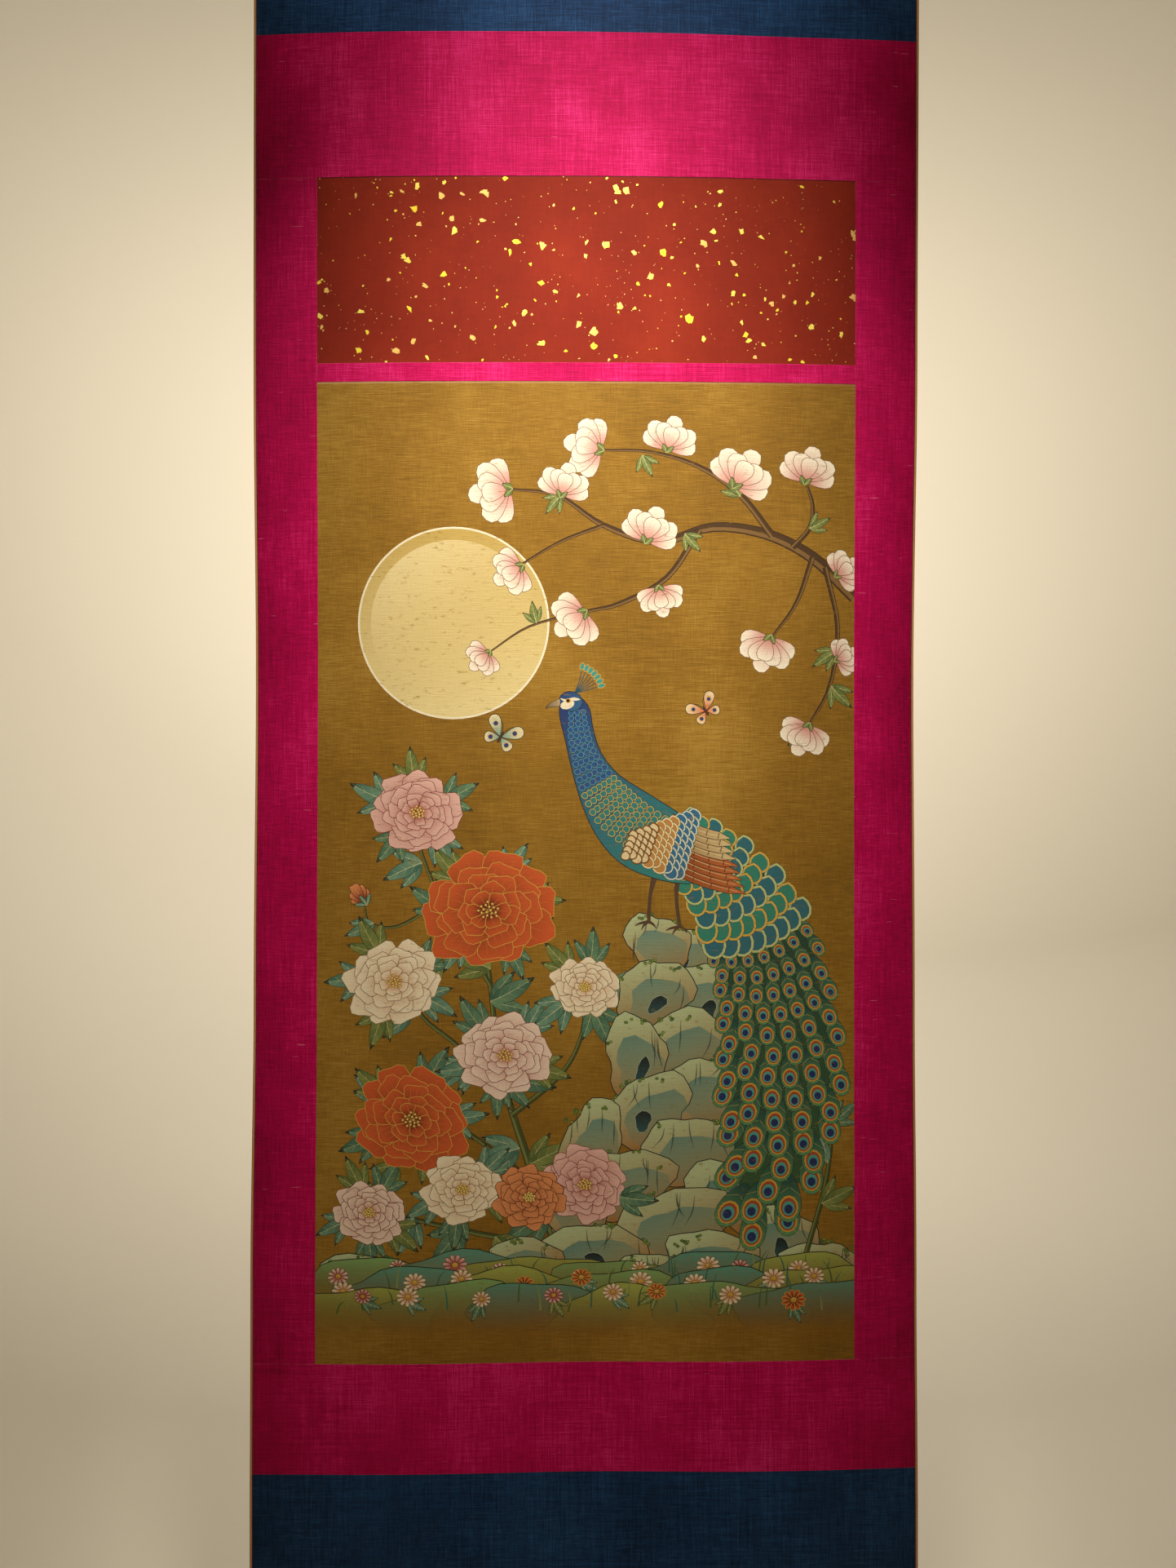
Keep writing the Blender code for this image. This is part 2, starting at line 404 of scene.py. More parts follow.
def binding(name, inside, outside):
    """The narrow rounded strip folded over a long edge, between two places across."""
    side = math.copysign(1, outside)
    width = abs(outside - inside) - BINDING_GAP
    count = round(cloth.height / BINDING_PITCH)
    across = np.full(count + 1, outside - side * width / 2)
    down = np.linspace(0.0, cloth.height, count + 1)
    centre = cloth.surface(across, down)
    along, back = cloth.directions(across, down)
    angle = 2 * math.pi * (np.arange(BINDING_SIDES) + 0.5) / BINDING_SIDES
    flat = flattened_wave(np.cos(angle), 0.7) * width / 2
    deep = flattened_wave(np.sin(angle), 0.8) * BINDING_HALF_DEPTH + BINDING_MIDDLE
    verts = centre[:, None] + along[:, None] * flat[None, :, None] + back[:, None] * deep[None, :, None]
    index, walls = tube(count + 1, BINDING_SIDES)
    mesh = bpy.data.meshes.new(name)
    ends = [index[0, ::-1].tolist(), index[-1].tolist()]
    mesh.from_pydata(verts.reshape(-1, 3).tolist(), [], walls + ends)
    # Painted light and shade: the strip's front crest gets the most tan, as if lit, and its sides and back
    # none, as if in shade
    lit_crest = np.clip(-np.sin(angle), 0, 1) * (1 - np.abs(2 * flat / width) ** 3)
    point_values(mesh, "lit_crest", np.tile(lit_crest, count + 1))
    return shown(name, mesh, 60)


# Flat shapes painted one over another, in millimetres on a panel


INK, GOLD = "2a1c10", "d9a441"

# Smaller steps and shapes than these are left out, because they would break the cutting up of a panel
LEAST_STEP = 0.002
LEAST_AREA = 0.02


class Picture:
    """Shapes laid one over another, each filled with a colour that runs evenly into a second one."""

    def __init__(self, seed):
        self.rng = random.Random(seed)
        self.shapes = []

    def fill(self, outline, start, end=None, run=None, cover=1.0, cover_end=None):
        """run is the line (x0, y0, x1, y1) along which start turns into end and cover into cover_end."""
        outline = np.asarray(outline, float)
        if signed_area(outline) < 0:
            outline = outline[::-1]
        cover_end = cover if cover_end is None else cover_end
        colours = (*linear(start), cover), (*linear(end or start), cover_end)
        self.shapes.append((outline, *colours, run or (0, 0, 1, 0)))

    def inked(self, outline, start, end=None, run=None, ink=INK, line=0.8):
        """A filled shape with an ink line round it."""
        self.fill(outline, ink)
        self.fill(inset(outline, line), start, end, run)

    def stroke(self, points, widths, colour):
        """A brush line through the points, as wide as widths says from its first point to its last."""
        self.fill(ribbon(curve(points, 4), widths), colour)


def signed_area(outline):
    """The area inside an outline, below zero where it runs the other way round."""
    x, y = outline.T
    return (x * np.roll(y, -1) - np.roll(x, -1) * y).sum() / 2


def curve(points, steps, closed=False):
    """A smooth line through the points, with that many steps from each to the next."""
    p = np.asarray(points, float)
    p = np.vstack([p[-1], p, p[0], p[1]]) if closed else np.vstack([2 * p[0] - p[1], p, 2 * p[-1] - p[-2]])
    made = []
    for a, b, c, d in zip(p, p[1:], p[2:], p[3:]):
        for t in np.arange(steps) / steps:
            bend, twist = 2 * a - 5 * b + 4 * c - d, 3 * b - a - 3 * c + d
            made.append(0.5 * (2 * b + (c - a) * t + bend * t**2 + twist * t**3))
    return np.array(made if closed else made + [p[-2]])


def square_to(line):
    """The unit direction square to a line, at each of its points."""
    along = np.gradient(line, axis=0)
    along /= np.linalg.norm(along, axis=1)[:, None] + 1e-9
    return np.stack([-along[:, 1], along[:, 0]], 1)


def spaced(widths, line):
    """The widths, which are spaced evenly along a line, at each of its points."""
    return np.interp(np.linspace(0, 1, len(line)), np.linspace(0, 1, len(widths)), widths)


def ribbon(line, widths):
    """The outline of a band along a line."""
    line = np.asarray(line, float)
    side = square_to(line) * spaced(widths, line)[:, None] / 2
    return np.vstack([line + side, (line - side)[::-1]])


def inset(outline, distance):
    """The outline moved inwards."""
    p = np.asarray(outline, float)
    ahead, behind = np.roll(p, -1, 0) - p, p - np.roll(p, 1, 0)
    along = sum(v / (np.linalg.norm(v, axis=1)[:, None] + 1e-9) for v in (ahead, behind))
    along /= np.linalg.norm(along, axis=1)[:, None] + 1e-9
    return p + np.sign(signed_area(p)) * distance * np.stack([-along[:, 1], along[:, 0]], 1)


def blob(x, y, rx, ry, turn=0.0, points=14, wobble=None):
    """A closed round shape. wobble(angle) makes its edge uneven."""
    a = np.linspace(0, 2 * math.pi, points, endpoint=False)
    r = 1.0 if wobble is None else np.array([wobble(v) for v in a])
    return spin(np.stack([rx * r * np.cos(a), ry * r * np.sin(a)], 1), turn) + (x, y)


def spin(points, angle):
    c, s = math.cos(angle), math.sin(angle)
    return np.asarray(points, float) @ np.array([[c, s], [-s, c]])


def clipped(outline, size):
    """The part of an outline on the panel, cut along its four sides in turn, or None."""
    points = outline
    for axis, limit, side in ((0, 0.0, 1), (0, size[0], -1), (1, 0.0, 1), (1, size[1], -1)):
        inside = side * (points[:, axis] - limit) >= 0
        if not inside.any():
            return None
        made = []
        for k in range(len(points)):
            a, b = points[k - 1], points[k]
            if inside[k - 1] != inside[k]:
                cut = a + (b - a) * (limit - a[axis]) / (b[axis] - a[axis])
                cut[axis] = limit
                made.append(cut)
            if inside[k]:
                made.append(b)
        points = np.array(made)
    points = points[np.abs(points - np.roll(points, 1, 0)).max(1) > LEAST_STEP]
    return points if len(points) > 2 and abs(signed_area(points)) > LEAST_AREA else None


def visible_regions(shapes, size):
    """Cuts the panel by every shape.

    Gives the points, the triangles, the number of each triangle's stack, and the stacks: the shapes seen
    in one place, from the top down to the first that hides what is under it.
    """
    width, height = map(float, size)
    points = [Vector(p) for p in ((0, 0), (width, 0), (width, height), (0, height))]
    faces, owners = [[0, 1, 2, 3]], [None]
    for owner, (outline, *_) in enumerate(shapes):
        outline = clipped(outline, size)
        if outline is not None:
            faces.append(list(range(len(points), len(points) + len(outline))))
            owners.append(owner)
            points += [Vector(p) for p in outline]
    made = delaunay_2d_cdt(points, [], faces, 1, 1e-4, True)
    hides = [start[3] >= 1 and end[3] >= 1 for _, start, end, _ in shapes]
    numbers, stack_of = {}, []
    for covers in made[5]:
        stack = []
        for face in sorted(covers, reverse=True):
            if owners[face] is None:
                break
            stack.append(owners[face])
            if hides[owners[face]]:
                break
        stack_of.append(numbers.setdefault(tuple(stack), len(numbers)))
    return np.array([p.to_tuple() for p in made[0]]), np.array(made[2]), np.array(stack_of), list(numbers)


def region_edges(triangles, stack_of):
    """The edges between triangles that show different stacks, and the panel's own."""
    edges = np.sort(np.concatenate([triangles[:, [0, 1]], triangles[:, [1, 2]], triangles[:, [2, 0]]]), 1)
    order = np.lexsort(edges.T)
    edges, stack = edges[order], np.tile(stack_of, 3)[order]
    twin = np.r_[(edges[1:] == edges[:-1]).all(1), False]
    lone = ~twin & ~np.r_[False, twin[:-1]]
    return edges[lone | twin & np.r_[stack[1:] != stack[:-1], False]]


def straightened(points, edges, longest, slack=0.03, rounds=4):
    """Leaves out the points that a line passes almost straight through, and cuts the long lines.

    They have to be cut because the panel isn't flat once it hangs. Gives the points and the edges.
    """
    points, edges = points.tolist(), [tuple(edge) for edge in edges.tolist()]
    for _ in range(rounds):
        links = {}
        for a, b in edges:
            links.setdefault(a, []).append(b)
            links.setdefault(b, []).append(a)
        gone, kept = {}, set()
        for point, ends in links.items():
            if len(ends) != 2 or point in kept or ends[0] in gone or ends[1] in gone:
                continue
            (ax, ay), (bx, by), (px, py) = points[ends[0]], points[ends[1]], points[point]
            length = math.hypot(bx - ax, by - ay)
            if 0 < length < longest and abs((bx - ax) * (py - ay) - (by - ay) * (px - ax)) < slack * length:
                gone[point] = tuple(sorted(ends))
                kept.update(ends)
        left = {edge for edge in edges if edge[0] not in gone and edge[1] not in gone}
        edges = list(left | set(gone.values()))
    cut = []
    for start, end in edges:
        parts = math.ceil(math.dist(points[start], points[end]) / longest)
        chain = [start, *range(len(points), len(points) + parts - 1), end]
        points += np.linspace(points[start], points[end], parts + 1)[1:-1].tolist()
        cut += zip(chain, chain[1:])
    return np.array(points), np.array(cut)


def joined(triangles, walls):
    """A number for each triangle, the same for those that no wall parts."""
    parent = list(range(len(triangles)))

    def root(i):
        while parent[i] != i:
            parent[i] = parent[parent[i]]
            i = parent[i]
        return i

    first = {}
    for number, (a, b, c) in enumerate(triangles.tolist()):
        for edge in ((a, b), (b, c), (c, a)):
            edge = (min(edge), max(edge))
            if edge in walls:
                continue
            if edge in first:
                parent[root(number)] = root(first[edge])
            else:
                first[edge] = number
    return [root(i) for i in range(len(triangles))]


def cut_up(shapes, size, cell=PAINTED_CELL):
    """A flat mesh of the panel with an edge wherever the visible colour changes, and its paint by corner."""
    points, triangles, stack_of, stacks = visible_regions(shapes, size)
    kept_points, edges = straightened(points, region_edges(triangles, stack_of), 1.3 * cell)
    used, places = np.unique(edges, return_inverse=True)
    x, y = (np.linspace(0, length, round(length / cell) + 1) for length in size)
    grid = np.stack(np.meshgrid(x, y), -1).reshape(-1, 2)
    made = delaunay_2d_cdt(
        [Vector(p) for p in np.vstack([kept_points[used], grid])],
        places.reshape(-1, 2).tolist(), [], 0, 1e-3, True,
    )
    new_points, new_triangles = np.array([p.to_tuple() for p in made[0]]), np.array(made[2])
    walls = {tuple(sorted(edge)) for edge, sources in zip(made[1], made[4]) if sources}
    regions = joined(new_triangles, walls)
    # Each region shows what is at the middle of its largest triangle
    corners = new_points[new_triangles]
    a, b = corners[:, 1] - corners[:, 0], corners[:, 2] - corners[:, 0]
    largest = {}
    for number in np.argsort(np.abs(a[:, 0] * b[:, 1] - a[:, 1] * b[:, 0])):
        largest[regions[number]] = number
    flat_points = [(*p, 0) for p in points.tolist()]
    flat_tree = BVHTree.FromPolygons(flat_points, triangles.tolist(), all_triangles=True)
    middles = corners.mean(1).tolist()
    found = {region: stack_of[flat_tree.find_nearest((*middles[n], 0))[2]] for region, n in largest.items()}
    facing = new_triangles[:, ::-1]
    paint = paint_at(new_points[facing], np.array([found[region] for region in regions]), stacks, shapes)
    return new_points, facing, paint


def paint_at(corners, stack_of, stacks, shapes):
    """The linear colour at every corner, and how much of the bare panel it covers."""
    depth = max(len(stack) for stack in stacks)
    table = np.array([[-1] * (depth - len(stack)) + list(stack) for stack in stacks])
    starts, ends, runs = (np.array([shape[k] for shape in shapes], float) for k in (1, 2, 3))
    along = runs[:, 2:] - runs[:, :2]
    paint = np.zeros((*corners.shape[:2], 4))
    for layer in range(depth - 1, -1, -1):
        owner = table[stack_of, layer]
        on = owner >= 0
        owner = owner[on, None]
        share = ((corners[on] - runs[owner, :2]) * along[owner]).sum(2) / (along[owner] ** 2).sum(2)
        share = np.clip(share, 0, 1)[..., None]
        top, under = starts[owner] * (1 - share) + ends[owner] * share, paint[on]
        cover, hidden = top[..., 3:], under[..., 3:] * (1 - top[..., 3:])
        whole = cover + hidden
        colour = (top[..., :3] * cover + under[..., :3] * hidden) / np.maximum(whole, 1e-6)
        paint[on] = np.concatenate([colour, whole], 2)
    return paint


# The picture's flowers, rock, bird and butterflies. Angles are in radians, and tones are sRGB hex codes


def tone_set(line, base, tip, vein):
    return {"line": line, "base": base, "tip": tip, "vein": vein}


ORANGE = tone_set("e0b04e", "5e120c", "d8602f", "f0a850")
CORAL = tone_set("4a140c", "8a2416", "ee9a60", "f4c87c")
PINK = tone_set("7a2c2c", "a83430", "f3c4b4", "c46a60")
CREAM = tone_set("8a6a48", "d8925c", "fff2cf", "cf9f78")
BLUSH = tone_set("7a3a34", "c2544c", "fbe3cc", "cc8070")
MAGNOLIA = tone_set("7a5a44", "d98f86", "fff6dc", "c79a80")
LEAF_TONES = (
    {"line": "1d2f28", "light": "6f9a74", "dark": "2a5c4c", "vein": "bcc58c"},
    {"line": "1d2f28", "light": "7fa98a", "dark": "2f6858", "vein": "cdd3a0"},
    {"line": "22301c", "light": "8f9a52", "dark": "45622f", "vein": "c8c282"},
)

# How many petals each ring of a peony has, and how long and wide they are for its radius
PEONY_RINGS = ((10, 1.00, 0.62), (9, 0.82, 0.54), (8, 0.65, 0.45), (7, 0.48, 0.36), (6, 0.33, 0.27))
PEONY_SQUASH = 0.86
STAMENS = 18
# Turns one stamen from the last, so that they fill the heart evenly
GOLDEN_ANGLE = 2.4

# The lean, length and width of a magnolia's petals, from the outermost in
MAGNOLIA_PETALS = (
    (-1.15, 0.86, 0.52), (1.15, 0.86, 0.52), (-0.75, 0.98, 0.52), (0.75, 0.98, 0.52), (0.0, 1.06, 0.52),
    (-0.42, 0.84, 0.5), (0.42, 0.84, 0.5), (0.0, 0.72, 0.5),
)

# The train's rows of feathers. Those at least as long as this, in millimetres, end in an eye
TRAIN_ROWS = 22
EYED_FROM = 12.5

# The rings of a train feather's eye, for its size: half length, half width, place and colour
EYE_RINGS = (
    (0.60, 0.50, 0.10, GOLD), (0.50, 0.41, 0.12, "a84a26"),
    (0.38, 0.32, 0.16, "4fa89a"), (0.24, 0.22, 0.20, "162f66"),
)


# The half width and half height of a mound of the bank, in millimetres
MOUND_REACH, MOUND_RISE = 100, 40

GOLD_SPECKS, GOLD_FLAKES = 380, 260


def any_turn(pic):
    return pic.rng.uniform(0, 6.3)


def petal_outline(length, width, ruffle, phase, points):
    """A petal from its base at the origin to its broad tip at (length, 0)."""
    a = np.linspace(0, 2 * math.pi, points, endpoint=False)
    edge = 1 + ruffle * np.sin(5 * a + phase) * np.clip(np.cos(a) + 0.5, 0, 1)
    x = length * (0.52 + 0.48 * np.cos(a) * edge)
    return np.stack([x, width / 1.4 * np.sin(a) * (0.62 + 0.38 * np.cos(a)) * edge], 1)


def petal(pic, x, y, angle, length, width, tones, veins, points, squash=1.0, tilt=0.0, ruffle=0.09):
    """A petal that shades from its base to its tip. squash narrows it across the direction of tilt."""

    def put(points):
        return spin(spin(spin(points, angle), -tilt) * (1, squash), tilt) + (x, y)

    outline = put(petal_outline(length, width, ruffle, any_turn(pic), points))
    base, tip = put([[length * 0.05, 0], [length * 0.95, 0]])
    pic.inked(outline, tones["base"], tones["tip"], (*base, *tip), tones["line"], 0.75)
    heart = put(petal_outline(length * 0.66, width * 0.62, 0, 0, 10) + (length * 0.03, 0))
    pic.fill(heart, tones["base"], None, (*base, *put([[length * 0.62, 0]])[0]), 0.85, 0.0)
    for k in range(veins):
        lean = (k - (veins - 1) / 2) * width * 0.22 / max(1, (veins - 1) / 2)
        line = put([[length * 0.15, lean * 0.25], [length * 0.5, lean * 0.8], [length * 0.86, lean * 1.15]])
        pic.fill(ribbon(line, (0.9, 0.7, 0.2)), tones["vein"], cover=0.45)


def peony(pic, x, y, radius, tones, tilt):
    for depth, (count, reach, wide) in enumerate(PEONY_RINGS):
        turn = any_turn(pic)
        shape = {"veins": 3, "points": 20} if depth < 3 else {"veins": 1, "points": 12}
        for i in range(count):
            angle = turn + 2 * math.pi * i / count + pic.rng.uniform(-0.12, 0.12)
            length = radius * reach * pic.rng.uniform(0.92, 1.06)
            width = radius * wide * pic.rng.uniform(0.9, 1.1)
            petal(pic, x, y, angle, length, width, tones, squash=PEONY_SQUASH, tilt=tilt, **shape)
    for i in range(STAMENS):
        a, r = i * GOLDEN_ANGLE, radius * 0.155 * math.sqrt((i + 0.5) / STAMENS)
        stamen = blob(x + r * math.cos(a), y + r * math.sin(a) * PEONY_SQUASH, 1.9, 1.9, 0, 6)
        pic.inked(stamen, "f4d977", ink="8a5a1c", line=0.5)


def peony_bud(pic, x, y, radius, angle, tones):
    for lean in (-0.55, 0.55, -0.28, 0.28, 0.0):
        petal(pic, x, y, angle + lean, radius * (1.6 - abs(lean)), radius * 0.8, tones, 1, 14)
    root = np.array([x, y]) - spin([[radius * 0.15, 0]], angle)[0]
    for lean in (-0.9, 0.9, 0.0):
        leaf(pic, *root, angle + lean, radius * 0.9, radius * 0.36, LEAF_TONES[1], veins=0)


def leaf(pic, x, y, angle, length, width, tones, bend=0.0, veins=4):
    """A leaf from its stalk at (x, y), light on one side of its midrib and dark on the other."""
    t = np.linspace(0, 1, 8)
    half = width / 2 * np.sin(math.pi * t**0.8) ** 0.9
    middle = np.stack([length * t, bend * length * t**2], 1)
    side = square_to(middle)

    def put(points):
        return spin(points, angle) + (x, y)

    whole = side * half[:, None]
    pic.fill(put(np.vstack([middle + whole, (middle - whole)[-2:0:-1]])), tones["line"])
    within = side * (half * (1 - 1.3 / max(width, 3)))[:, None]
    run = tuple(put(middle[[0, -1]]).ravel())
    near, far = middle + within, middle - within
    pic.fill(put(np.vstack([near[:-1], middle[-2:0:-1]])), tones["light"], tones["dark"], run)
    pic.fill(put(np.vstack([middle[:-1], far[-2:0:-1]])), tones["dark"], tones["light"], run)
    pic.fill(ribbon(put(middle[:-1]), (1.1, 0.4)), tones["vein"], cover=0.9)
    for k in range(veins):
        i = 0.18 + 0.62 * k / max(1, veins - 1)
        at = np.array([length * i, bend * length * i**2])
        for s in (-1, 1):
            end = at + (length * 0.13, s * width * 0.36 * math.sin(math.pi * (i + 0.08) ** 0.8))
            pic.fill(ribbon(put([at, end]), (0.6, 0.2)), tones["vein"], cover=0.6)


def leaf_spray(pic, x, y, angle, length, tone):
    """Three leaves from one place."""
    for lean, size in ((-0.62, 0.78), (0.62, 0.78), (0.0, 1.0)):
        bend = pic.rng.uniform(-0.15, 0.15)
        leaf(pic, x, y, angle + lean, length * size, length * size * 0.36, LEAF_TONES[tone], bend)


def stem(pic, points, widths, light="8b6a3c", dark="4a3520"):
    line = curve(points, 5)
    width = spaced(widths, line)
    pic.fill(ribbon(line, widths), INK)
    pic.fill(ribbon(line, width - 1.5), dark)
    pic.fill(ribbon(line - square_to(line) * width[:, None] * 0.18, width * 0.34), light, cover=0.8)


def green_stem(pic, points, widths):
    stem(pic, points, widths, "7f8a4a", "44552c")


def magnolia(pic, x, y, radius, angle):
    for lean, size, width in MAGNOLIA_PETALS:
        petal(pic, x, y, angle + lean, radius * size, radius * width, MAGNOLIA, 2, 14, ruffle=0.02)
    for lean in (-0.6, 0.6):
        root = np.array([x, y]) - spin([[3, 0]], angle)[0]
        leaf(pic, *root, angle + lean, radius * 0.3, radius * 0.18, LEAF_TONES[2], veins=0)


def rock_facet(pic, x, y, rx, ry, turn):
    """One rounded face of a rock, blue-green over ochre, with creases and perhaps a hollow."""
    rng = pic.rng
    p1, p2, p3 = (any_turn(pic) for _ in range(3))

    def wobble(a):
        return 1 + 0.13 * math.sin(2 * a + p1) + 0.10 * math.sin(3 * a + p2) + 0.05 * math.sin(7 * a + p3)

    run = (x - rx * 0.3, y - ry, x + rx * 0.2, y + ry * 0.95)
    pic.inked(blob(x, y, rx, ry, turn, 24, wobble), "c3d3a0", "a8743a", run, "14262a", 1.2)
    shade = blob(x + rx * 0.12, y + ry * 0.2, rx * 0.76, ry * 0.68, turn, 16, wobble)
    pic.fill(shade, "1f7480", "4f9a7c", run, 0.95, 0.1)
    for _ in range(rng.randint(4, 6)):
        a = turn + rng.uniform(-2.7, -0.4)
        start = np.array([x + rx * 0.84 * math.cos(a), y + ry * 0.84 * math.sin(a)])
        drop, sway = rng.uniform(0.4, 0.95) * ry, rng.uniform(-0.25, 0.25) * rx
        line = curve([start, start + (sway * 0.2, drop * 0.5), start + (sway, drop)], 3)
        pic.fill(ribbon(line, (0.5, 2.0, 0.2)), "17383c", cover=0.7)
    if rng.random() < 0.45:
        middle = x + rng.uniform(-0.3, 0.3) * rx
        hollow = blob(middle, y + 0.25 * ry, rx * 0.2, ry * 0.3, turn + 0.3, 12, wobble)
        pic.inked(hollow, "0f2428", "2a5a5a", (x, y, x, y + ry * 0.6), "9fb39a", 0.9)


def rock(pic):
    """The rock's faces, each with tufts of moss along its top."""
    rng = pic.rng
    for x, y, rx, ry, turn in ROCK_FACETS:
        rock_facet(pic, x, y, rx, ry, turn)
        for _ in range(5):
            a = rng.uniform(-2.7, -0.4)
            moss = np.array([x + rx * 0.92 * math.cos(a), y + ry * 0.92 * math.sin(a)])
            for _ in range(3):
                dot = moss + (rng.uniform(-5, 5), rng.uniform(-3, 3))
                green = rng.choice(("6e8f3e", "8aa24a", "4f7a44"))
                pic.inked(blob(*dot, 2.4, 2.0, 0, 6), green, ink="1d2a16", line=0.5)


def eye_feather(pic, x, y, angle, size):
    """A train feather that ends in an eye, pointing along angle. (x, y) is the eye's middle."""
    a = np.linspace(0, 2 * math.pi, 16, endpoint=False)
    across = size * 0.82 * np.sin(a) * (0.78 + 0.22 * np.cos(a))
    vane = np.stack([size * (np.cos(a) * 1.25 - 0.35), across], 1)

    def put(points):
        return spin(points, angle) + (x, y)

    run = tuple(put([[-size * 1.3, 0], [size, 0]]).ravel())
    pic.inked(put(vane), "1a4f48", "5f9a62", run, "10262a", 0.6)
    for s in (-1, 1):
        for k in range(4):
            i = -0.9 + k * 0.42
            line = put([[size * i, s * size * 0.05], [size * (i + 0.42), s * size * (0.62 - 0.05 * k)]])
            pic.fill(ribbon(line, (0.9, 0.5)), "c8b45c", cover=0.55)
    for rx, ry, shift, colour in EYE_RINGS:
        pic.fill(put(blob(size * shift, 0, size * rx, size * ry, 0, 12)), colour)


def scale_feather(pic, x, y, angle, size, body, rim, line="14302c"):
    """A short rounded feather with a light rim, its end towards angle."""
    a = np.linspace(-math.pi * 0.62, math.pi * 0.62, 9)
    arc = np.stack([size * np.cos(a), size * 0.85 * np.sin(a)], 1)
    outline = spin(np.vstack([arc, [[-size * 0.7, size * 0.2], [-size * 0.7, -size * 0.2]]]), angle) + (x, y)
    pic.fill(outline, line)
    pic.fill(inset(outline, 0.45), rim)
    pic.fill(inset(outline, 0.45 + size * 0.16), body)


def peacock_train(pic):
    """Its rows lie behind the body and are laid from the far end up, as roof tiles are."""
    middle = curve([(446, 560), (512, 622), (556, 716), (572, 830), (562, 946), (532, 1044)], 10)
    reach = np.cumsum(np.r_[0, np.linalg.norm(np.diff(middle, axis=0), axis=1)])
    side = square_to(middle)
    # Dark down, which shows between the feathers
    down = ribbon(middle[:-4], (56, 66, 84, 104, 118, 122, 124, 116, 96, 52))
    pic.fill(down, "14403c", "35603a", (450, 560, 540, 1040))
    for row in range(TRAIN_ROWS, -1, -1):
        t = row / TRAIN_ROWS
        at = reach[-1] * (0.55 * t + 0.45 * t**1.5)
        spot, n = (np.array([np.interp(at, reach, v[:, k]) for k in (0, 1)]) for v in (middle, side))
        heading = math.atan2(-n[0], n[1])
        width = np.interp(t, (0, 0.18, 0.4, 0.75, 1), (30, 44, 62, 74, 40))
        size = np.interp(t, (0, 0.35, 0.6, 1), (8, 11.5, 17, 25))
        count = max(3, round(2 * width / (size * 1.3)))
        shift = 0.25
        for j in range(count):
            # Every other row starts a quarter of a feather further on
            v = (j + (shift if row % 2 else 0.0)) / (count - 1 + shift) * 2 - 1
            px, py = spot + n * v * width - np.array([n[1], -n[0]]) * v**2 * size * 1.2
            if size < EYED_FROM:
                tones = ("2f8a74", "e0b552") if row % 2 else ("2a6f7c", "c9d08a")
                scale_feather(pic, px, py, heading + v * 0.38, size * 1.55, *tones)
            else:
                eye_feather(pic, px, py, heading + v * 0.38, size)


def peacock_wing(pic):
    """The folded wing: long barred feathers, rust below and pale above, and rows of small ones over them."""
    for k in range(9):
        root, tip = np.array([420.0 + 2 * k, 588 - 7 * k]), np.array([528.0 - 2.5 * k, 628 - 8.5 * k])
        middle = curve([root, (root + tip) / 2 + (0, 5), tip], 5)
        half = np.interp(np.linspace(0, 1, len(middle)), (0, 0.3, 0.8, 1), (3, 6.5, 5.5, 0.6))[:, None]
        feather = np.vstack([middle + square_to(middle) * half, (middle - square_to(middle) * half)[::-1]])
        light, dark = ("c9713a", "7a3018") if k < 5 else ("e0c88f", "8a5a2c")
        pic.inked(feather, dark, light, (*root, *tip), INK, 0.7)
        pic.fill(ribbon(middle[:-1], (1.0, 0.5)), "f0dba0", cover=0.8)
        for bar in range(2, len(middle) - 2, 2):
            cut = middle[bar] + square_to(middle)[bar] * np.array([[-3.6], [3.6]])
            pic.fill(ribbon(cut, (1.3, 1.3)), "4a2412", cover=0.75)
    tones = ("2f6f94", "d5dcc4"), ("c08a48", "f4e2ae"), ("e8d3a0", "8a5a2c")
    for row in range(10):
        count = 9 - row // 2
        for j in range(count):
            spot = np.array([462.0 - 8.2 * row - 2.4 * j, 532 + 2.6 * row + (8.6 - 0.25 * row) * j])
            scale_feather(pic, *spot, 0.35 + 0.06 * j, 11.5 - 0.45 * row, *tones[min(row // 3, 2)], INK)


def peacock_head(pic):
    for k in range(7):
        a = -1.30 + k * 0.17
        base = np.array([317.0, 382])
        tip = base + (math.cos(a) * 34, math.sin(a) * 34)
        pic.stroke([base, (base + tip) / 2 + (1.5, 0), tip], (1.1, 0.9), "1f4f60")
        pic.inked(blob(*tip, 5.2, 3.4, a, 8), "3f9a8c", ink=GOLD, line=0.8)
    pic.inked(blob(312, 392, 15, 12.5, 0.15, 14), "1b3a72", "2a6a90", (300, 380, 326, 404), "101d2c", 0.8)
    pic.fill(blob(308, 396, 9, 5.5, -0.3, 10), "efe2c0")
    brow = [(299, 388), (306, 389.5), (316, 387), (324, 390), (315, 391.5), (305, 392.5)]
    pic.fill(curve(brow, 2, True), "efe2c0")
    pic.fill(blob(309, 391.2, 3.4, 3.0, 0, 10), GOLD)
    pic.fill(blob(308.8, 391.2, 2.1, 2.1, 0, 8), "120c08")
    beak = [(299, 389), (292, 391), (284, 396), (281, 401), (286, 400), (292, 399), (299, 398)]
    pic.inked(curve(beak, 2, True), "b9a27a", "6a5a44", (299, 390, 283, 400), INK, 0.6)


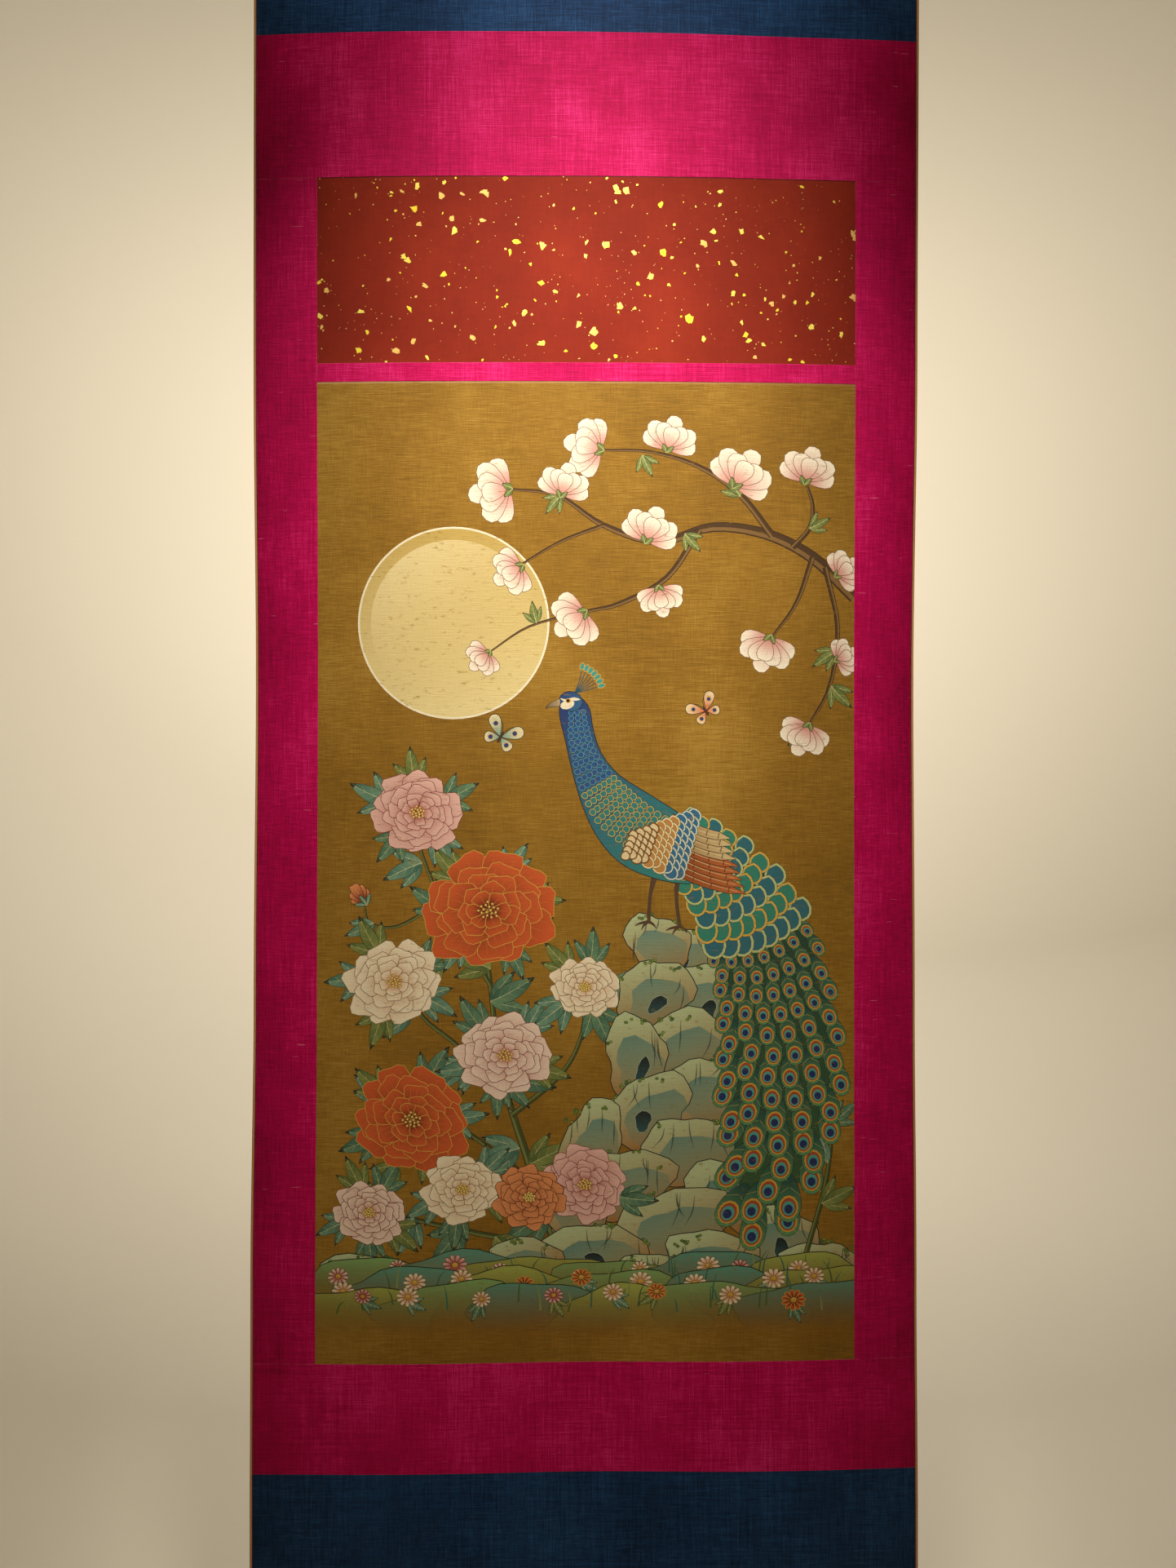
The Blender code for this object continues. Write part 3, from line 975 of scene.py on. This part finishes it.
def peacock(pic):
    peacock_train(pic)
    for hip, foot in (((418, 596), (408, 662)), ((444, 598), (446, 668))):
        knee = ((hip[0] + foot[0]) / 2 - 3, (hip[1] + foot[1]) / 2)
        pic.stroke([hip, knee, foot], (9, 4.5, 4.5), "5a4530")
        for x, y in ((-17, 5), (-9, 10), (9, 8)):
            toe = (foot[0] + x, foot[1] + y)
            pic.stroke([foot, (foot[0] + x * 0.6, foot[1] + y * 0.4), toe], (4, 3, 1), "5a4530")
    body = curve([
        (312, 384), (326, 388), (336, 402), (340, 425), (350, 455), (372, 482), (408, 505), (450, 532),
        (490, 566), (506, 592), (492, 610), (452, 616), (410, 608), (372, 590), (344, 558), (326, 520),
        (314, 480), (305, 440), (298, 410), (300, 392),
    ], 3, True)
    pic.inked(body, "1b3a72", "2f8a80", (310, 400, 470, 600), "101d2c", 1.0)
    spine = curve([(320, 405), (324, 440), (338, 480), (364, 520), (404, 552), (462, 584)], 5)
    side = square_to(spine)
    widths = np.interp(np.linspace(0, 1, len(spine)), (0, 0.3, 0.6, 1), (13, 19, 34, 34))
    for i in range(len(spine) - 1, -1, -1):
        count = max(3, round(widths[i] * 2 / 8.5))
        tones = ("1f4f86", "4f9ab0") if i < 0.45 * len(spine) else ("2a7f7c", "c9b15a")
        for j in range(count):
            v = ((j + 0.5) / count * 2 - 1) * 0.86
            spot = spine[i] + side[i] * v * widths[i]
            heading = math.atan2(-side[i][0], side[i][1])
            scale_feather(pic, *spot, heading, 4.6 + 2.2 * i / len(spine), *tones, "0f2036")
    peacock_wing(pic)
    peacock_head(pic)


def butterfly(pic, x, y, size, turn, wing, spot):
    for flip in (-1, 1):
        for length, width, angle in ((1.0, 0.62, -0.75), (0.68, 0.56, 0.45)):
            a = np.linspace(0, 2 * math.pi, 16, endpoint=False)
            across = 0.62 * width * np.sin(a) * (0.6 + 0.4 * np.cos(a))
            half = np.stack([0.5 * length * (1 + np.cos(a)), across], 1)
            outline = spin(spin(half * size, angle) * (flip, 1), turn) + (x, y)
            base, tip = spin(spin([[0, 0], [size * length, 0]], angle) * (flip, 1), turn) + (x, y)
            pic.inked(outline, wing, "f0dfae", (*base, *tip), INK, 0.8)
            mark = blob(*(base * 0.4 + tip * 0.6), size * 0.12, size * 0.12, 0, 8)
            pic.inked(mark, spot, ink=GOLD, line=0.7)
    for s in (-1, 1):
        feeler = [[0, -size * 0.2], [s * size * 0.16, -size * 0.5], [s * size * 0.3, -size * 0.62]]
        pic.stroke(spin(feeler, turn) + (x, y), (0.8, 0.6), INK)
    pic.inked(blob(x, y, size * 0.07, size * 0.27, turn, 10), "4a3520", ink=INK, line=0.5)


def aster(pic, x, y, radius, tones):
    turn = pic.rng.uniform(0, 0.6)
    for i in range(11):
        petal(pic, x, y, turn + 0.571 * i, radius, radius * 0.4, tones, 0, 9, squash=0.85, ruffle=0.0)
    heart = blob(x, y, radius * 0.27, radius * 0.24, 0, 9)
    pic.inked(heart, "f0cf5e", "c07a24", (x, y - 4, x, y + 4), "6a3a12", 0.5)


def bank(pic, right, top):
    """Low mounds of earth, green above, that thin out into bare silk, with grass and asters on them."""
    rng = pic.rng
    for row, count in enumerate((6, 5, 6)):
        level = top + 17 * row
        for k in range(count):
            x = right * (k + 0.5 + 0.3 * (row % 2)) / count + rng.uniform(-16, 16)
            y = level + 34 + rng.uniform(-5, 5)
            p1, p2 = any_turn(pic), any_turn(pic)

            def wobble(a):
                return 1 + 0.10 * math.sin(3 * a + p1) + 0.05 * math.sin(7 * a + p2)

            mound = blob(x, y, MOUND_REACH, MOUND_RISE, rng.uniform(-0.06, 0.06), 34, wobble)
            mound[:, 0] = np.clip(mound[:, 0], -8, right + 8)
            run = (x, y - MOUND_RISE, x, y + 24)
            pic.fill(mound, "1d2a1a", None, run, 1.0, 0.0)
            green = ("86b06a", "5f9c84", "a9b456")[(k + row) % 3]
            pic.fill(inset(mound, 1.2), green, "a06c22", run, 1.0, 0.1)
        for _ in range(26):
            x, height, lean = rng.uniform(14, right - 14), rng.uniform(14, 34), rng.uniform(-12, 12)
            foot = level + 20 + rng.uniform(-6, 10)
            blade = [(x, foot), (x + lean * 0.3, foot - height * 0.6), (x + lean, foot - height)]
            pic.stroke(blade, (2.4, 1.8, 0.4), rng.choice(("4c6b35", "35705f", "8f9a52")))
        for k in range(9):
            x = right * (k + 0.3 + 0.25 * row) / 9 + rng.uniform(-20, 20)
            y = level + 12 + rng.uniform(-8, 8)
            if 14 < x < right - 14:
                leaf_spray(pic, x, y + 5, rng.uniform(0.4, 2.7), 26, rng.randint(0, 2))
                aster(pic, x, y, rng.uniform(11, 16), rng.choice((ORANGE, CREAM, PINK, CREAM, BLUSH)))


def moon(pic):
    pic.inked(blob(168, 296, 118, 118, 0, 72), "c4a658", "e8d596", (168, 180, 168, 414), "f6edcc", 2.4)
    pic.fill(blob(168, 296, 102, 102, 0, 56), "f0dfa6", "d4b96c", (110, 215, 215, 380), 0.7, 0.0)


# The points along each stem and how wide it is, evenly from end to end
BRANCHES = (
    (((664, 262), (610, 214), (552, 186), (486, 178), (420, 196), (352, 176), (296, 140), (236, 132)),
     (17, 15, 13, 11, 8, 5, 3)),
    (((560, 188), (520, 138), (470, 104), (410, 86), (352, 84)), (9, 8, 6, 4, 3)),
    (((470, 181), (430, 240), (372, 272), (330, 282), (262, 300), (212, 332)), (8, 7, 6, 4, 3, 2)),
    (((610, 214), (590, 270), (560, 312)), (7, 5, 3)),
    (((352, 176), (300, 196), (252, 224)), (5, 4, 3)),
    (((585, 202), (606, 178), (610, 150), (600, 118)), (7, 6, 5, 3)),
    (((626, 226), (642, 300), (632, 372), (606, 420)), (7, 6, 5, 3)),
)
PEONY_STEMS = (
    (((300, 1075), (262, 960), (228, 850), (214, 740), (206, 660)), (12, 10, 8, 6, 5)),
    (((270, 985), (200, 930), (150, 900), (118, 890)), (8, 6, 5, 4)),
    (((240, 890), (180, 820), (132, 780), (112, 740)), (8, 6, 5, 4)),
    (((214, 740), (160, 650), (130, 580), (124, 540)), (6, 5, 4, 3)),
    (((150, 640), (100, 668), (66, 664), (58, 640)), (5, 4, 3, 3)),
    (((280, 1060), (180, 1040), (100, 1020), (66, 1000)), (8, 7, 5, 4)),
    (((240, 900), (300, 850), (326, 800), (330, 742)), (7, 6, 5, 4)),
)

# The place, angle, length and tone of each spray of leaves
BRANCH_LEAVES = (
    (520, 140, -2.2, 34, 2), (452, 186, 0.9, 30, 2), (300, 140, 2.4, 30, 2), (640, 330, 2.7, 36, 2),
    (634, 372, 0.9, 38, 2), (604, 424, 2.3, 34, 2), (270, 296, -1.9, 28, 2), (400, 90, 1.2, 30, 2),
    (606, 178, -0.4, 30, 2),
)
PEONY_LEAVES = (
    (228, 850, 0.3, 70, 0), (250, 940, 2.9, 64, 1), (214, 760, -0.4, 62, 0), (190, 830, 2.4, 60, 1),
    (160, 650, -2.6, 56, 0), (214, 720, 3.6, 60, 2), (270, 985, 0.7, 66, 1), (140, 905, 2.0, 60, 0),
    (262, 960, -0.5, 60, 2), (130, 590, 2.8, 54, 1), (126, 560, -0.7, 52, 2), (118, 780, 3.3, 58, 1),
    (284, 1020, 2.6, 64, 0), (210, 690, -0.9, 56, 1), (150, 700, 2.2, 50, 2), (290, 1040, 0.1, 60, 2),
    (80, 880, -2.4, 46, 1), (100, 960, 2.3, 46, 2), (120, 1024, 1.9, 52, 1), (180, 1040, 2.4, 58, 0),
    (84, 1012, -2.7, 50, 2), (70, 1000, 2.2, 44, 0), (220, 1048, 0.8, 50, 2), (70, 664, 2.6, 40, 1),
)
LONE_STEM_LEAVES = (
    (630, 960, -2.4, 48, 1), (636, 910, -0.6, 40, 0), (622, 1010, -0.4, 50, 2), (634, 870, -2.6, 38, 2),
)

# The place, radius and angle of each magnolia
MAGNOLIAS = (
    (350, 84, 46, -2.9), (430, 84, 42, -1.3), (512, 128, 50, -1.0), (238, 132, 50, 3.0),
    (300, 140, 40, -1.3), (252, 226, 38, 2.6), (330, 282, 44, 2.5), (404, 196, 44, -1.2),
    (420, 252, 36, 1.4), (558, 312, 44, 1.9), (600, 122, 44, -1.3), (640, 236, 34, -0.6),
    (212, 332, 30, 2.4), (606, 420, 40, 2.0), (640, 340, 30, -0.4),
)

# The place, radius, tones and tilt of each peony on the bush
PEONIES = (
    (124, 528, 58, PINK, 0.2), (96, 736, 62, CREAM, -0.3), (118, 905, 74, ORANGE, 0.4),
    (232, 826, 60, BLUSH, 0.1), (212, 648, 84, ORANGE, -0.2), (66, 1018, 46, BLUSH, 0.2),
    (330, 742, 44, CREAM, 0.2), (180, 990, 50, CREAM, 0.1),
)

# The place, half width, half height and turn of each face of the rock
ROCK_FACETS = (
    (455, 706, 46, 34, 0.3), (420, 690, 38, 40, -0.3), (472, 760, 50, 44, 0.1), (414, 752, 46, 46, 0.4),
    (446, 820, 66, 44, -0.2), (392, 830, 40, 52, 0.2), (486, 872, 58, 46, 0.3), (410, 896, 56, 44, -0.4),
    (340, 930, 40, 46, 0.2), (462, 944, 62, 46, 0.1), (376, 984, 60, 44, -0.1), (520, 1000, 62, 44, 0.3),
    (316, 1016, 48, 42, 0.5), (440, 1034, 70, 46, 0.0), (568, 1054, 54, 40, -0.2), (350, 1070, 66, 38, 0.1),
    (492, 1082, 66, 38, 0.2), (250, 1082, 58, 30, 0.0), (622, 1086, 46, 32, 0.1), (420, 1098, 60, 28, 0.1),
    (172, 1096, 52, 24, 0.1), (60, 1092, 60, 22, 0.0),
)


def leaf_sprays(pic, sprays):
    for x, y, angle, length, tone in sprays:
        leaf_spray(pic, x, y, angle, length, tone)


def magnolia_branch(pic):
    for points, widths in BRANCHES:
        stem(pic, points, widths)
    leaf_sprays(pic, BRANCH_LEAVES)
    for x, y, radius, angle in MAGNOLIAS:
        magnolia(pic, x, y, radius, angle)


def peony_bush(pic):
    for points, widths in PEONY_STEMS:
        green_stem(pic, points, widths)
    leaf_sprays(pic, PEONY_LEAVES)
    peony_bud(pic, 60, 640, 18, -2.2, CORAL)
    for n, (x, y, radius, _, _) in enumerate(PEONIES):
        turn = any_turn(pic)
        for k in range(5):
            angle = turn + 1.26 * k + pic.rng.uniform(-0.25, 0.25)
            root = np.array([x, y]) + spin([[radius * 0.6, 0]], angle)[0]
            leaf_spray(pic, *root, angle, pic.rng.uniform(44, 58), (n + k) % 3)
    for x, y, radius, tones, tilt in PEONIES:
        peony(pic, x, y, radius, tones, tilt)


def bird_and_flower_picture(size):
    pic = Picture(seed=7)
    moon(pic)
    magnolia_branch(pic)
    peony_bush(pic)
    rock(pic)
    green_stem(pic, [(600, 1080), (628, 980), (636, 900), (632, 850)], (7, 6, 4, 3))
    leaf_sprays(pic, LONE_STEM_LEAVES)
    peony_bud(pic, 632, 846, 20, -1.5, PINK)
    peacock(pic)
    peony(pic, 330, 985, 54, PINK, 0.5)
    leaf_spray(pic, 372, 1000, 0.2, 50, 0)
    peony(pic, 262, 1000, 46, CORAL, 0.2)
    butterfly(pic, 226, 436, 30, 0.5, "5f9a8c", "1b3f78")
    butterfly(pic, 478, 404, 26, -0.6, "d3582e", "1b3f78")
    bank(pic, size[0], 1078)
    # A painted highlight: a pale line along the silk's top edge under the middle band, as if it catches the
    # light from above
    pic.fill(top_strip(size, 2.4), "c9a274", "a87848", (0, 1, size[0], 1), 0.6)
    return pic.shapes


def top_strip(size, depth):
    return [(0, 0), (size[0], 0), (size[0], depth), (0, depth)]


def gold_flecks(size):
    """Torn leaf gold strewn over the paper, from specks to flakes of a dozen millimetres."""
    pic = Picture(seed=23)
    rng = pic.rng
    for _ in range(GOLD_SPECKS):
        radius = 0.3 + 0.6 * rng.random() ** 2
        speck = blob(rng.uniform(0, size[0]), rng.uniform(0, size[1]), radius, radius, 0, 5)
        pic.fill(speck, rng.choice(("f0c25a", "e89a68", "f6dc88")))
    for _ in range(GOLD_FLAKES):
        length = 0.9 + 5.2 * rng.random() ** 2.2
        ragged = [rng.uniform(0.55, 1.15) for _ in range(rng.randint(5, 9))]
        angles = np.sort([rng.uniform(0, 2 * math.pi) for _ in ragged] + [0.0, 2.2, 4.2])
        radii = np.array(ragged + [1.0, 0.8, 0.9])
        narrow = rng.uniform(0.5, 1.0)
        outline = np.stack([length * radii * np.cos(angles), length * narrow * radii * np.sin(angles)], 1)
        outline = spin(outline, rng.uniform(0, 3.2)) + (rng.uniform(0, size[0]), rng.uniform(0, size[1]))
        centre = outline.mean(0)
        light, dark = rng.choice((("fff050", "f6d030"), ("fff27c", "f8da48"), ("fbd87c", "eab258")))
        # A painted shadow under each flake, a little larger than it and set below and to its right
        pic.fill(centre + (outline - centre) * 1.06 + (0.15, 0.3), "5a180e", cover=0.7)
        # Painted light on each flake: paler at its upper left, deeper at its lower right
        pic.fill(outline, light, dark, (*(centre - length), *(centre + length)))
    # The shade of the band above on the paper's edge
    pic.fill(top_strip(size, 1.0), "3a0f08", cover=0.75)
    return pic.shapes


# Finishes


class Finish:
    """A Principled material whose patterns are fixed to the object's own coordinates, in metres."""

    def __init__(self, name, roughness, specular, sheen=0.0):
        self.material = bpy.data.materials.new(name)
        self.material.use_nodes = True
        self.tree = self.material.node_tree
        self.inputs = self.tree.nodes["Principled BSDF"].inputs
        self.inputs["Roughness"].default_value = roughness
        self.inputs["Specular IOR Level"].default_value = specular
        self.inputs["Sheen Weight"].default_value = sheen
        self.inputs["Sheen Roughness"].default_value = 0.45
        self.place = self.node("ShaderNodeTexCoord").outputs["Object"]

    def node(self, kind, **settings):
        made = self.tree.nodes.new(kind)
        for key, value in settings.items():
            setattr(made, key, value)
        return made

    def feed(self, socket, value):
        if isinstance(value, bpy.types.NodeSocket):
            self.tree.links.new(value, socket)
        elif socket.type == "RGBA":
            socket.default_value = (*value, 1.0)
        else:
            socket.default_value = value

    def noise(self, pitch, detail=2.0, roughness=0.5, shift=(0.0, 0.0, 0.0)):
        """Noise with that many features a metre along x, y and z."""
        mapping = self.node("ShaderNodeMapping")
        self.feed(mapping.inputs["Vector"], self.place)
        self.feed(mapping.inputs["Scale"], pitch)
        self.feed(mapping.inputs["Location"], shift)
        made = self.node("ShaderNodeTexNoise")
        self.feed(made.inputs["Vector"], mapping.outputs["Vector"])
        for key, value in (("Scale", 1.0), ("Detail", detail), ("Roughness", roughness)):
            self.feed(made.inputs[key], value)
        return made.outputs["Fac"]

    def math(self, operation, a, b, clamp=False):
        made = self.node("ShaderNodeMath", operation=operation, use_clamp=clamp)
        self.feed(made.inputs[0], a)
        self.feed(made.inputs[1], b)
        return made.outputs[0]

    def spread(self, value, low, high, to_low=0.0, to_high=1.0):
        """Turns the values from low to high into those from to_low to to_high, and holds them there."""
        made = self.node("ShaderNodeMapRange")
        keys = "Value", "From Min", "From Max", "To Min", "To Max"
        for key, given in zip(keys, (value, low, high, to_low, to_high)):
            self.feed(made.inputs[key], given)
        return made.outputs["Result"]

    def mix(self, share, a, b):
        made = self.node("ShaderNodeMix", data_type="RGBA")
        colours = [socket for socket in made.inputs if socket.type == "RGBA"]
        for socket, given in ((made.inputs[0], share), (colours[0], a), (colours[1], b)):
            self.feed(socket, given)
        return next(socket for socket in made.outputs if socket.type == "RGBA")

    def attribute(self, name, output="Fac"):
        return self.node("ShaderNodeAttribute", attribute_name=name).outputs[output]

    def bump(self, height, distance):
        made = self.node("ShaderNodeBump")
        self.feed(made.inputs["Strength"], 0.6)
        self.feed(made.inputs["Distance"], distance)
        self.feed(made.inputs["Height"], height)
        self.feed(self.inputs["Normal"], made.outputs["Normal"])

    def coloured(self, colour):
        """The material, once its colour is set. This is the last thing that a finish does."""
        self.feed(self.inputs["Base Color"], colour)
        return self.material


def threads(finish, warp, weft, fine, slub=13, pitch=740):
    """Slubs along both ways of the weave, from about -1 to 1, over the fine threads."""
    down = finish.spread(finish.noise((pitch, 300, slub), 2.0, 0.6), 0.3, 0.7, -warp, warp)
    over = finish.spread(finish.noise((slub, 300, pitch), 2.0, 0.6, (3, 0, 5)), 0.3, 0.7, -weft, weft)
    small = finish.math("ADD", finish.noise((1500, 300, 70), 1.0), finish.noise((70, 300, 1500), 1.0))
    slubs = finish.math("ADD", down, over)
    return finish.math("ADD", slubs, finish.spread(small, 0.7, 1.3, -fine, fine))


def clouded(finish, weave, gain, clouds, low, high):
    """The tone of a cloth from 0 to 1: its weave over slow clouds that run from low to high."""
    drift = finish.spread(clouds, 0.3, 0.7, low, high)
    return finish.math("ADD", finish.math("MULTIPLY", weave, gain), drift)


def three_tones(finish, tone, deep, middle, bright):
    """The colour of a tone that runs from deep at 0 over middle to bright at 1."""
    low = finish.mix(finish.spread(tone, 0.0, 0.5), linear(deep), linear(middle))
    return finish.mix(finish.spread(tone, 0.5, 1.0), low, linear(bright))


def magenta_silk():
    finish = Finish("magenta_silk", roughness=0.58, specular=0.10, sheen=0.02)
    weave = threads(finish, warp=0.75, weft=0.65, fine=0.9)
    tone = clouded(finish, weave, 0.18, finish.noise((11, 11, 8), 4.0, 0.6), 0.33, 0.67)
    # Painted shade: the silk is darker towards its outer edges, where the cloth curls away from the light
    apart = finish.node("ShaderNodeSeparateXYZ")
    finish.feed(apart.inputs[0], finish.place)
    squared = finish.math("MULTIPLY", apart.outputs["X"], apart.outputs["X"])
    tone = finish.math("SUBTRACT", tone, finish.spread(squared, 0.10, 0.165, 0.0, 0.26))
    body = three_tones(finish, tone, "90003a", "c40556", "ee368a")
    # A painted highlight along the seams' edges, broken into patches, and pale where a thread is scratched
    patchy = finish.spread(finish.noise((60, 60, 60)), 0.38, 0.62, 0.0, 0.26)
    scratches = finish.spread(finish.noise((38, 38, 420), 1.0, 0.5, (7, 1, 2)), 0.775, 0.81, 0.0, 0.6)
    seam_highlight_and_scratches = finish.math("MAXIMUM", finish.math("MULTIPLY", finish.attribute("edge"), patchy), scratches)
    finish.bump(weave, 0.00014)
    return finish.coloured(finish.mix(seam_highlight_and_scratches, body, linear("e0708c")))


def indigo_silk():
    finish = Finish("indigo_silk", roughness=0.60, specular=0.10, sheen=0.02)
    weave = threads(finish, warp=0.8, weft=0.8, fine=1.2)
    tone = clouded(finish, weave, 0.22, finish.noise((6, 6, 5), 3.0, 0.55), 0.3, 0.7)
    finish.bump(weave, 0.00010)
    return finish.coloured(three_tones(finish, tone, "0d203a", "193860", "2b5588"))


def painted_silk():
    finish = Finish("painted_silk", roughness=0.72, specular=0.2, sheen=0.02)
    weave = threads(finish, warp=0.3, weft=1.1, fine=0.8, slub=38, pitch=1000)
    tone = clouded(finish, weave, 0.17, finish.noise((4.5, 4.5, 3.5), 4.0, 0.6), 0.25, 0.75)
    silk = three_tones(finish, tone, "6a4b10", "8e671c", "b08a38")
    # The colours are laid thinly, so the weft shows in them and they are rubbed off its high threads
    patchy = finish.spread(finish.noise((90, 90, 240), 4.0, 0.65), 0.30, 0.42, 0.45, 1.0)
    cover = finish.math("MULTIPLY", finish.attribute("paint", "Alpha"), patchy)
    shade = finish.math("ADD", finish.spread(tone, 0.0, 1.0, 0.12, -0.05), 0.10, True)
    paint = finish.mix(shade, finish.attribute("paint", "Color"), linear("5a3c14"))
    finish.bump(weave, 0.00008)
    return finish.coloured(finish.mix(cover, silk, paint))


def fibres(finish, pitch):
    """The fibres of a paper, lying up and down and from side to side."""
    return finish.math("ADD", finish.noise((pitch, pitch, 60)), finish.noise((60, pitch, pitch)))


def flecked_paper():
    finish = Finish("flecked_paper", roughness=0.70, specular=0.15)
    fibre = fibres(finish, 260)
    tone = clouded(finish, fibre, 0.25, finish.noise((7, 7, 6), 4.0, 0.6), 0.0, 0.5)
    paper = three_tones(finish, tone, "6f1a09", "86240e", "992f15")
    # The gold shines where the paper doesn't
    cover = finish.attribute("paint", "Alpha")
    finish.feed(finish.inputs["Metallic"], finish.math("MULTIPLY", cover, 0.3))
    finish.feed(finish.inputs["Roughness"], finish.spread(cover, 0.0, 1.0, 0.72, 0.42))
    finish.bump(fibre, 0.00008)
    return finish.coloured(finish.mix(cover, paper, finish.attribute("paint", "Color")))


def edging_silk():
    finish = Finish("edging_silk", roughness=0.62, specular=0.35, sheen=0.15)
    twist = finish.noise((900, 900, 500), 1.0)
    # Painted light and shade: tan where the strip's crest is painted lit, near-black on its sides and back
    # where shade is painted, varied a little by the twist of its threads
    lit_crest = finish.spread(finish.attribute("lit_crest"), 0.35, 0.85)
    tone = finish.math("ADD", lit_crest, finish.spread(twist, 0.3, 0.7, -0.12, 0.12), True)
    finish.bump(twist, 0.0001)
    return finish.coloured(finish.mix(tone, linear("1e1206"), linear("e09a62")))


def backing_paper():
    finish = Finish("backing_paper", roughness=0.85, specular=0.25)
    fibre = fibres(finish, 420)
    clouds = finish.noise((6, 6, 5), 4.0, 0.6)
    tone = finish.spread(finish.math("ADD", finish.math("MULTIPLY", fibre, 0.35), clouds), 0.65, 1.1)
    finish.bump(fibre, 0.0001)
    return finish.coloured(finish.mix(tone, linear("cdbd96"), linear("e6dcc0")))


# The whole scroll


def make_scroll():
    finishes = {
        "magenta_silk": magenta_silk(), "indigo_silk": indigo_silk(), "painted_silk": painted_silk(),
        "flecked_paper": flecked_paper(), "edging_silk": edging_silk(),
    }
    backing = backing_paper()
    sheets = {}
    for panel in PANELS:
        if panel is PICTURE:
            front = cut_up(bird_and_flower_picture(panel.size), panel.size)
        elif panel is INSCRIPTION:
            front = cut_up(gold_flecks(panel.size), panel.size)
        else:
            front = plain_front(panel.size)
        made = sheets[panel.name] = sheet_object(panel, *front)
        fit(made, panel.node, panel.slot, finishes[panel.slot], backing)
    bindings = [
        binding("left_binding", SILK_LEFT, OUTER_LEFT),
        binding("right_binding", SILK_RIGHT, OUTER_RIGHT),
    ]
    for made, node in zip(bindings, ("left_edging", "right_edging")):
        fit(made, node, "edging_silk", finishes["edging_silk"])


def fit(made, node, slot, *materials):
    for material in materials:
        made.data.materials.append(material)
    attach(made, "root")
    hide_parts(node)


# The studio


# How far out the floor and the wall are at each height, in metres
SWEEP_PROFILE = (
    (0.2, 0.0), (0.9, 0.0), (1.6, 0.0), (2.7, 0.12), (3.8, 0.6), (4.7, 1.6),
    (5.2, 3.2), (5.4, 5.2), (5.5, 7.6),
)
SWEEP_RINGS, SWEEP_SIDES = 60, 96

# The power, cone in degrees and place of each lamp, and the height on the scroll that it is aimed at
CEILING = (0.0, -1.20, 0.57)
LAMPS = (
    ("ceiling_lamp", 215, 34, CEILING, -1.085),
    ("accent_lamp", 145, 20, CEILING, -0.98),
    ("grazing_lamp", 10, 100, (0.0, -0.50, -0.16), -0.20),
)
LAMP_COLOUR = (1.0, 0.93, 0.84)


def sweep():
    """A plain pale floor that rises smoothly into a wall all round."""
    t = np.linspace(0, len(SWEEP_PROFILE) - 1, SWEEP_RINGS)
    radius, height = (np.interp(t, range(len(SWEEP_PROFILE)), column) for column in zip(*SWEEP_PROFILE))
    for line in (radius, height):
        for _ in range(6):
            line[1:-1] = (line[:-2] + 2 * line[1:-1] + line[2:]) / 4
    angle = np.linspace(0, 2 * math.pi, SWEEP_SIDES, endpoint=False)
    out = np.stack([np.cos(angle), np.sin(angle), np.zeros(SWEEP_SIDES)], 1)
    verts = out[None] * radius[:, None, None] + [0, 0, FLOOR_LEVEL]
    verts += height[:, None, None] * np.array([0, 0, 1])
    index, walls = tube(SWEEP_RINGS, SWEEP_SIDES)
    mesh = bpy.data.meshes.new("studio_sweep")
    mesh.from_pydata(verts.reshape(-1, 3).tolist(), [], walls + [index[0].tolist()])
    made = shown("studio_sweep", mesh)
    mesh.materials.append(Finish("studio_sweep", roughness=0.9, specular=0.1).coloured(linear("e2d9c6")))


def hang_light(name, light, place, target):
    made = bpy.data.objects.new(name, light)
    made.location = place
    made.rotation_euler = (Vector(target) - Vector(place)).to_track_quat("-Z", "Y").to_euler()
    made.visible_camera = False
    bpy.context.scene.collection.objects.link(made)


def disk_light(name, place, target, size, power, colour):
    light = bpy.data.lights.new(name, "AREA")
    light.shape = "DISK"
    light.size, light.energy, light.color = size, power, colour
    hang_light(name, light, place, target)


def lights():
    # Warm lamps in front of the scroll, brightest on its upper middle, and a low one that grazes its top
    for name, power, cone, place, aim in LAMPS:
        lamp = bpy.data.lights.new(name, "SPOT")
        lamp.energy, lamp.color = power, LAMP_COLOUR
        lamp.spot_size, lamp.spot_blend, lamp.shadow_soft_size = math.radians(cone), 1.0, 0.08
        hang_light(name, lamp, place, (0.0, 0.0, aim))
    # Soft light on the back, and a pool of it on the wall behind
    disk_light("back_fill", (0.8, 3.2, 0.2), (0.0, 0.0, -1.2), 2.4, 70, (1.0, 0.98, 0.95))
    disk_light("wall_glow", (0.0, 2.2, 0.4), (0.0, 6.0, 0.4), 1.6, 120, (1.0, 0.95, 0.86))
    world = bpy.data.worlds.new("studio_air")
    world.use_nodes = True
    background = world.node_tree.nodes["Background"].inputs
    background["Color"].default_value = (1.0, 0.97, 0.93, 1.0)
    background["Strength"].default_value = 0.02
    bpy.context.scene.world = world


def camera():
    lens = bpy.data.cameras.new("photo_camera")
    lens.sensor_fit, lens.sensor_height = "VERTICAL", SENSOR_HEIGHT
    lens.lens = SENSOR_HEIGHT * FOCAL_PIXELS / PHOTO_HEIGHT
    made = bpy.data.objects.new("photo_camera", lens)
    turns = (-CAMERA_TURN, "Z"), (math.pi / 2 - CAMERA_DIP, "X"), (CAMERA_ROLL, "Z")
    made.matrix_world = Matrix.Translation(CAMERA_PLACE)
    for angle, axis in turns:
        made.matrix_world = made.matrix_world @ Matrix.Rotation(angle, 4, axis)
    bpy.context.scene.collection.objects.link(made)
    bpy.context.scene.camera = made


make_scroll()
sweep()
lights()
camera()
bpy.context.scene.view_settings.view_transform = "Standard"
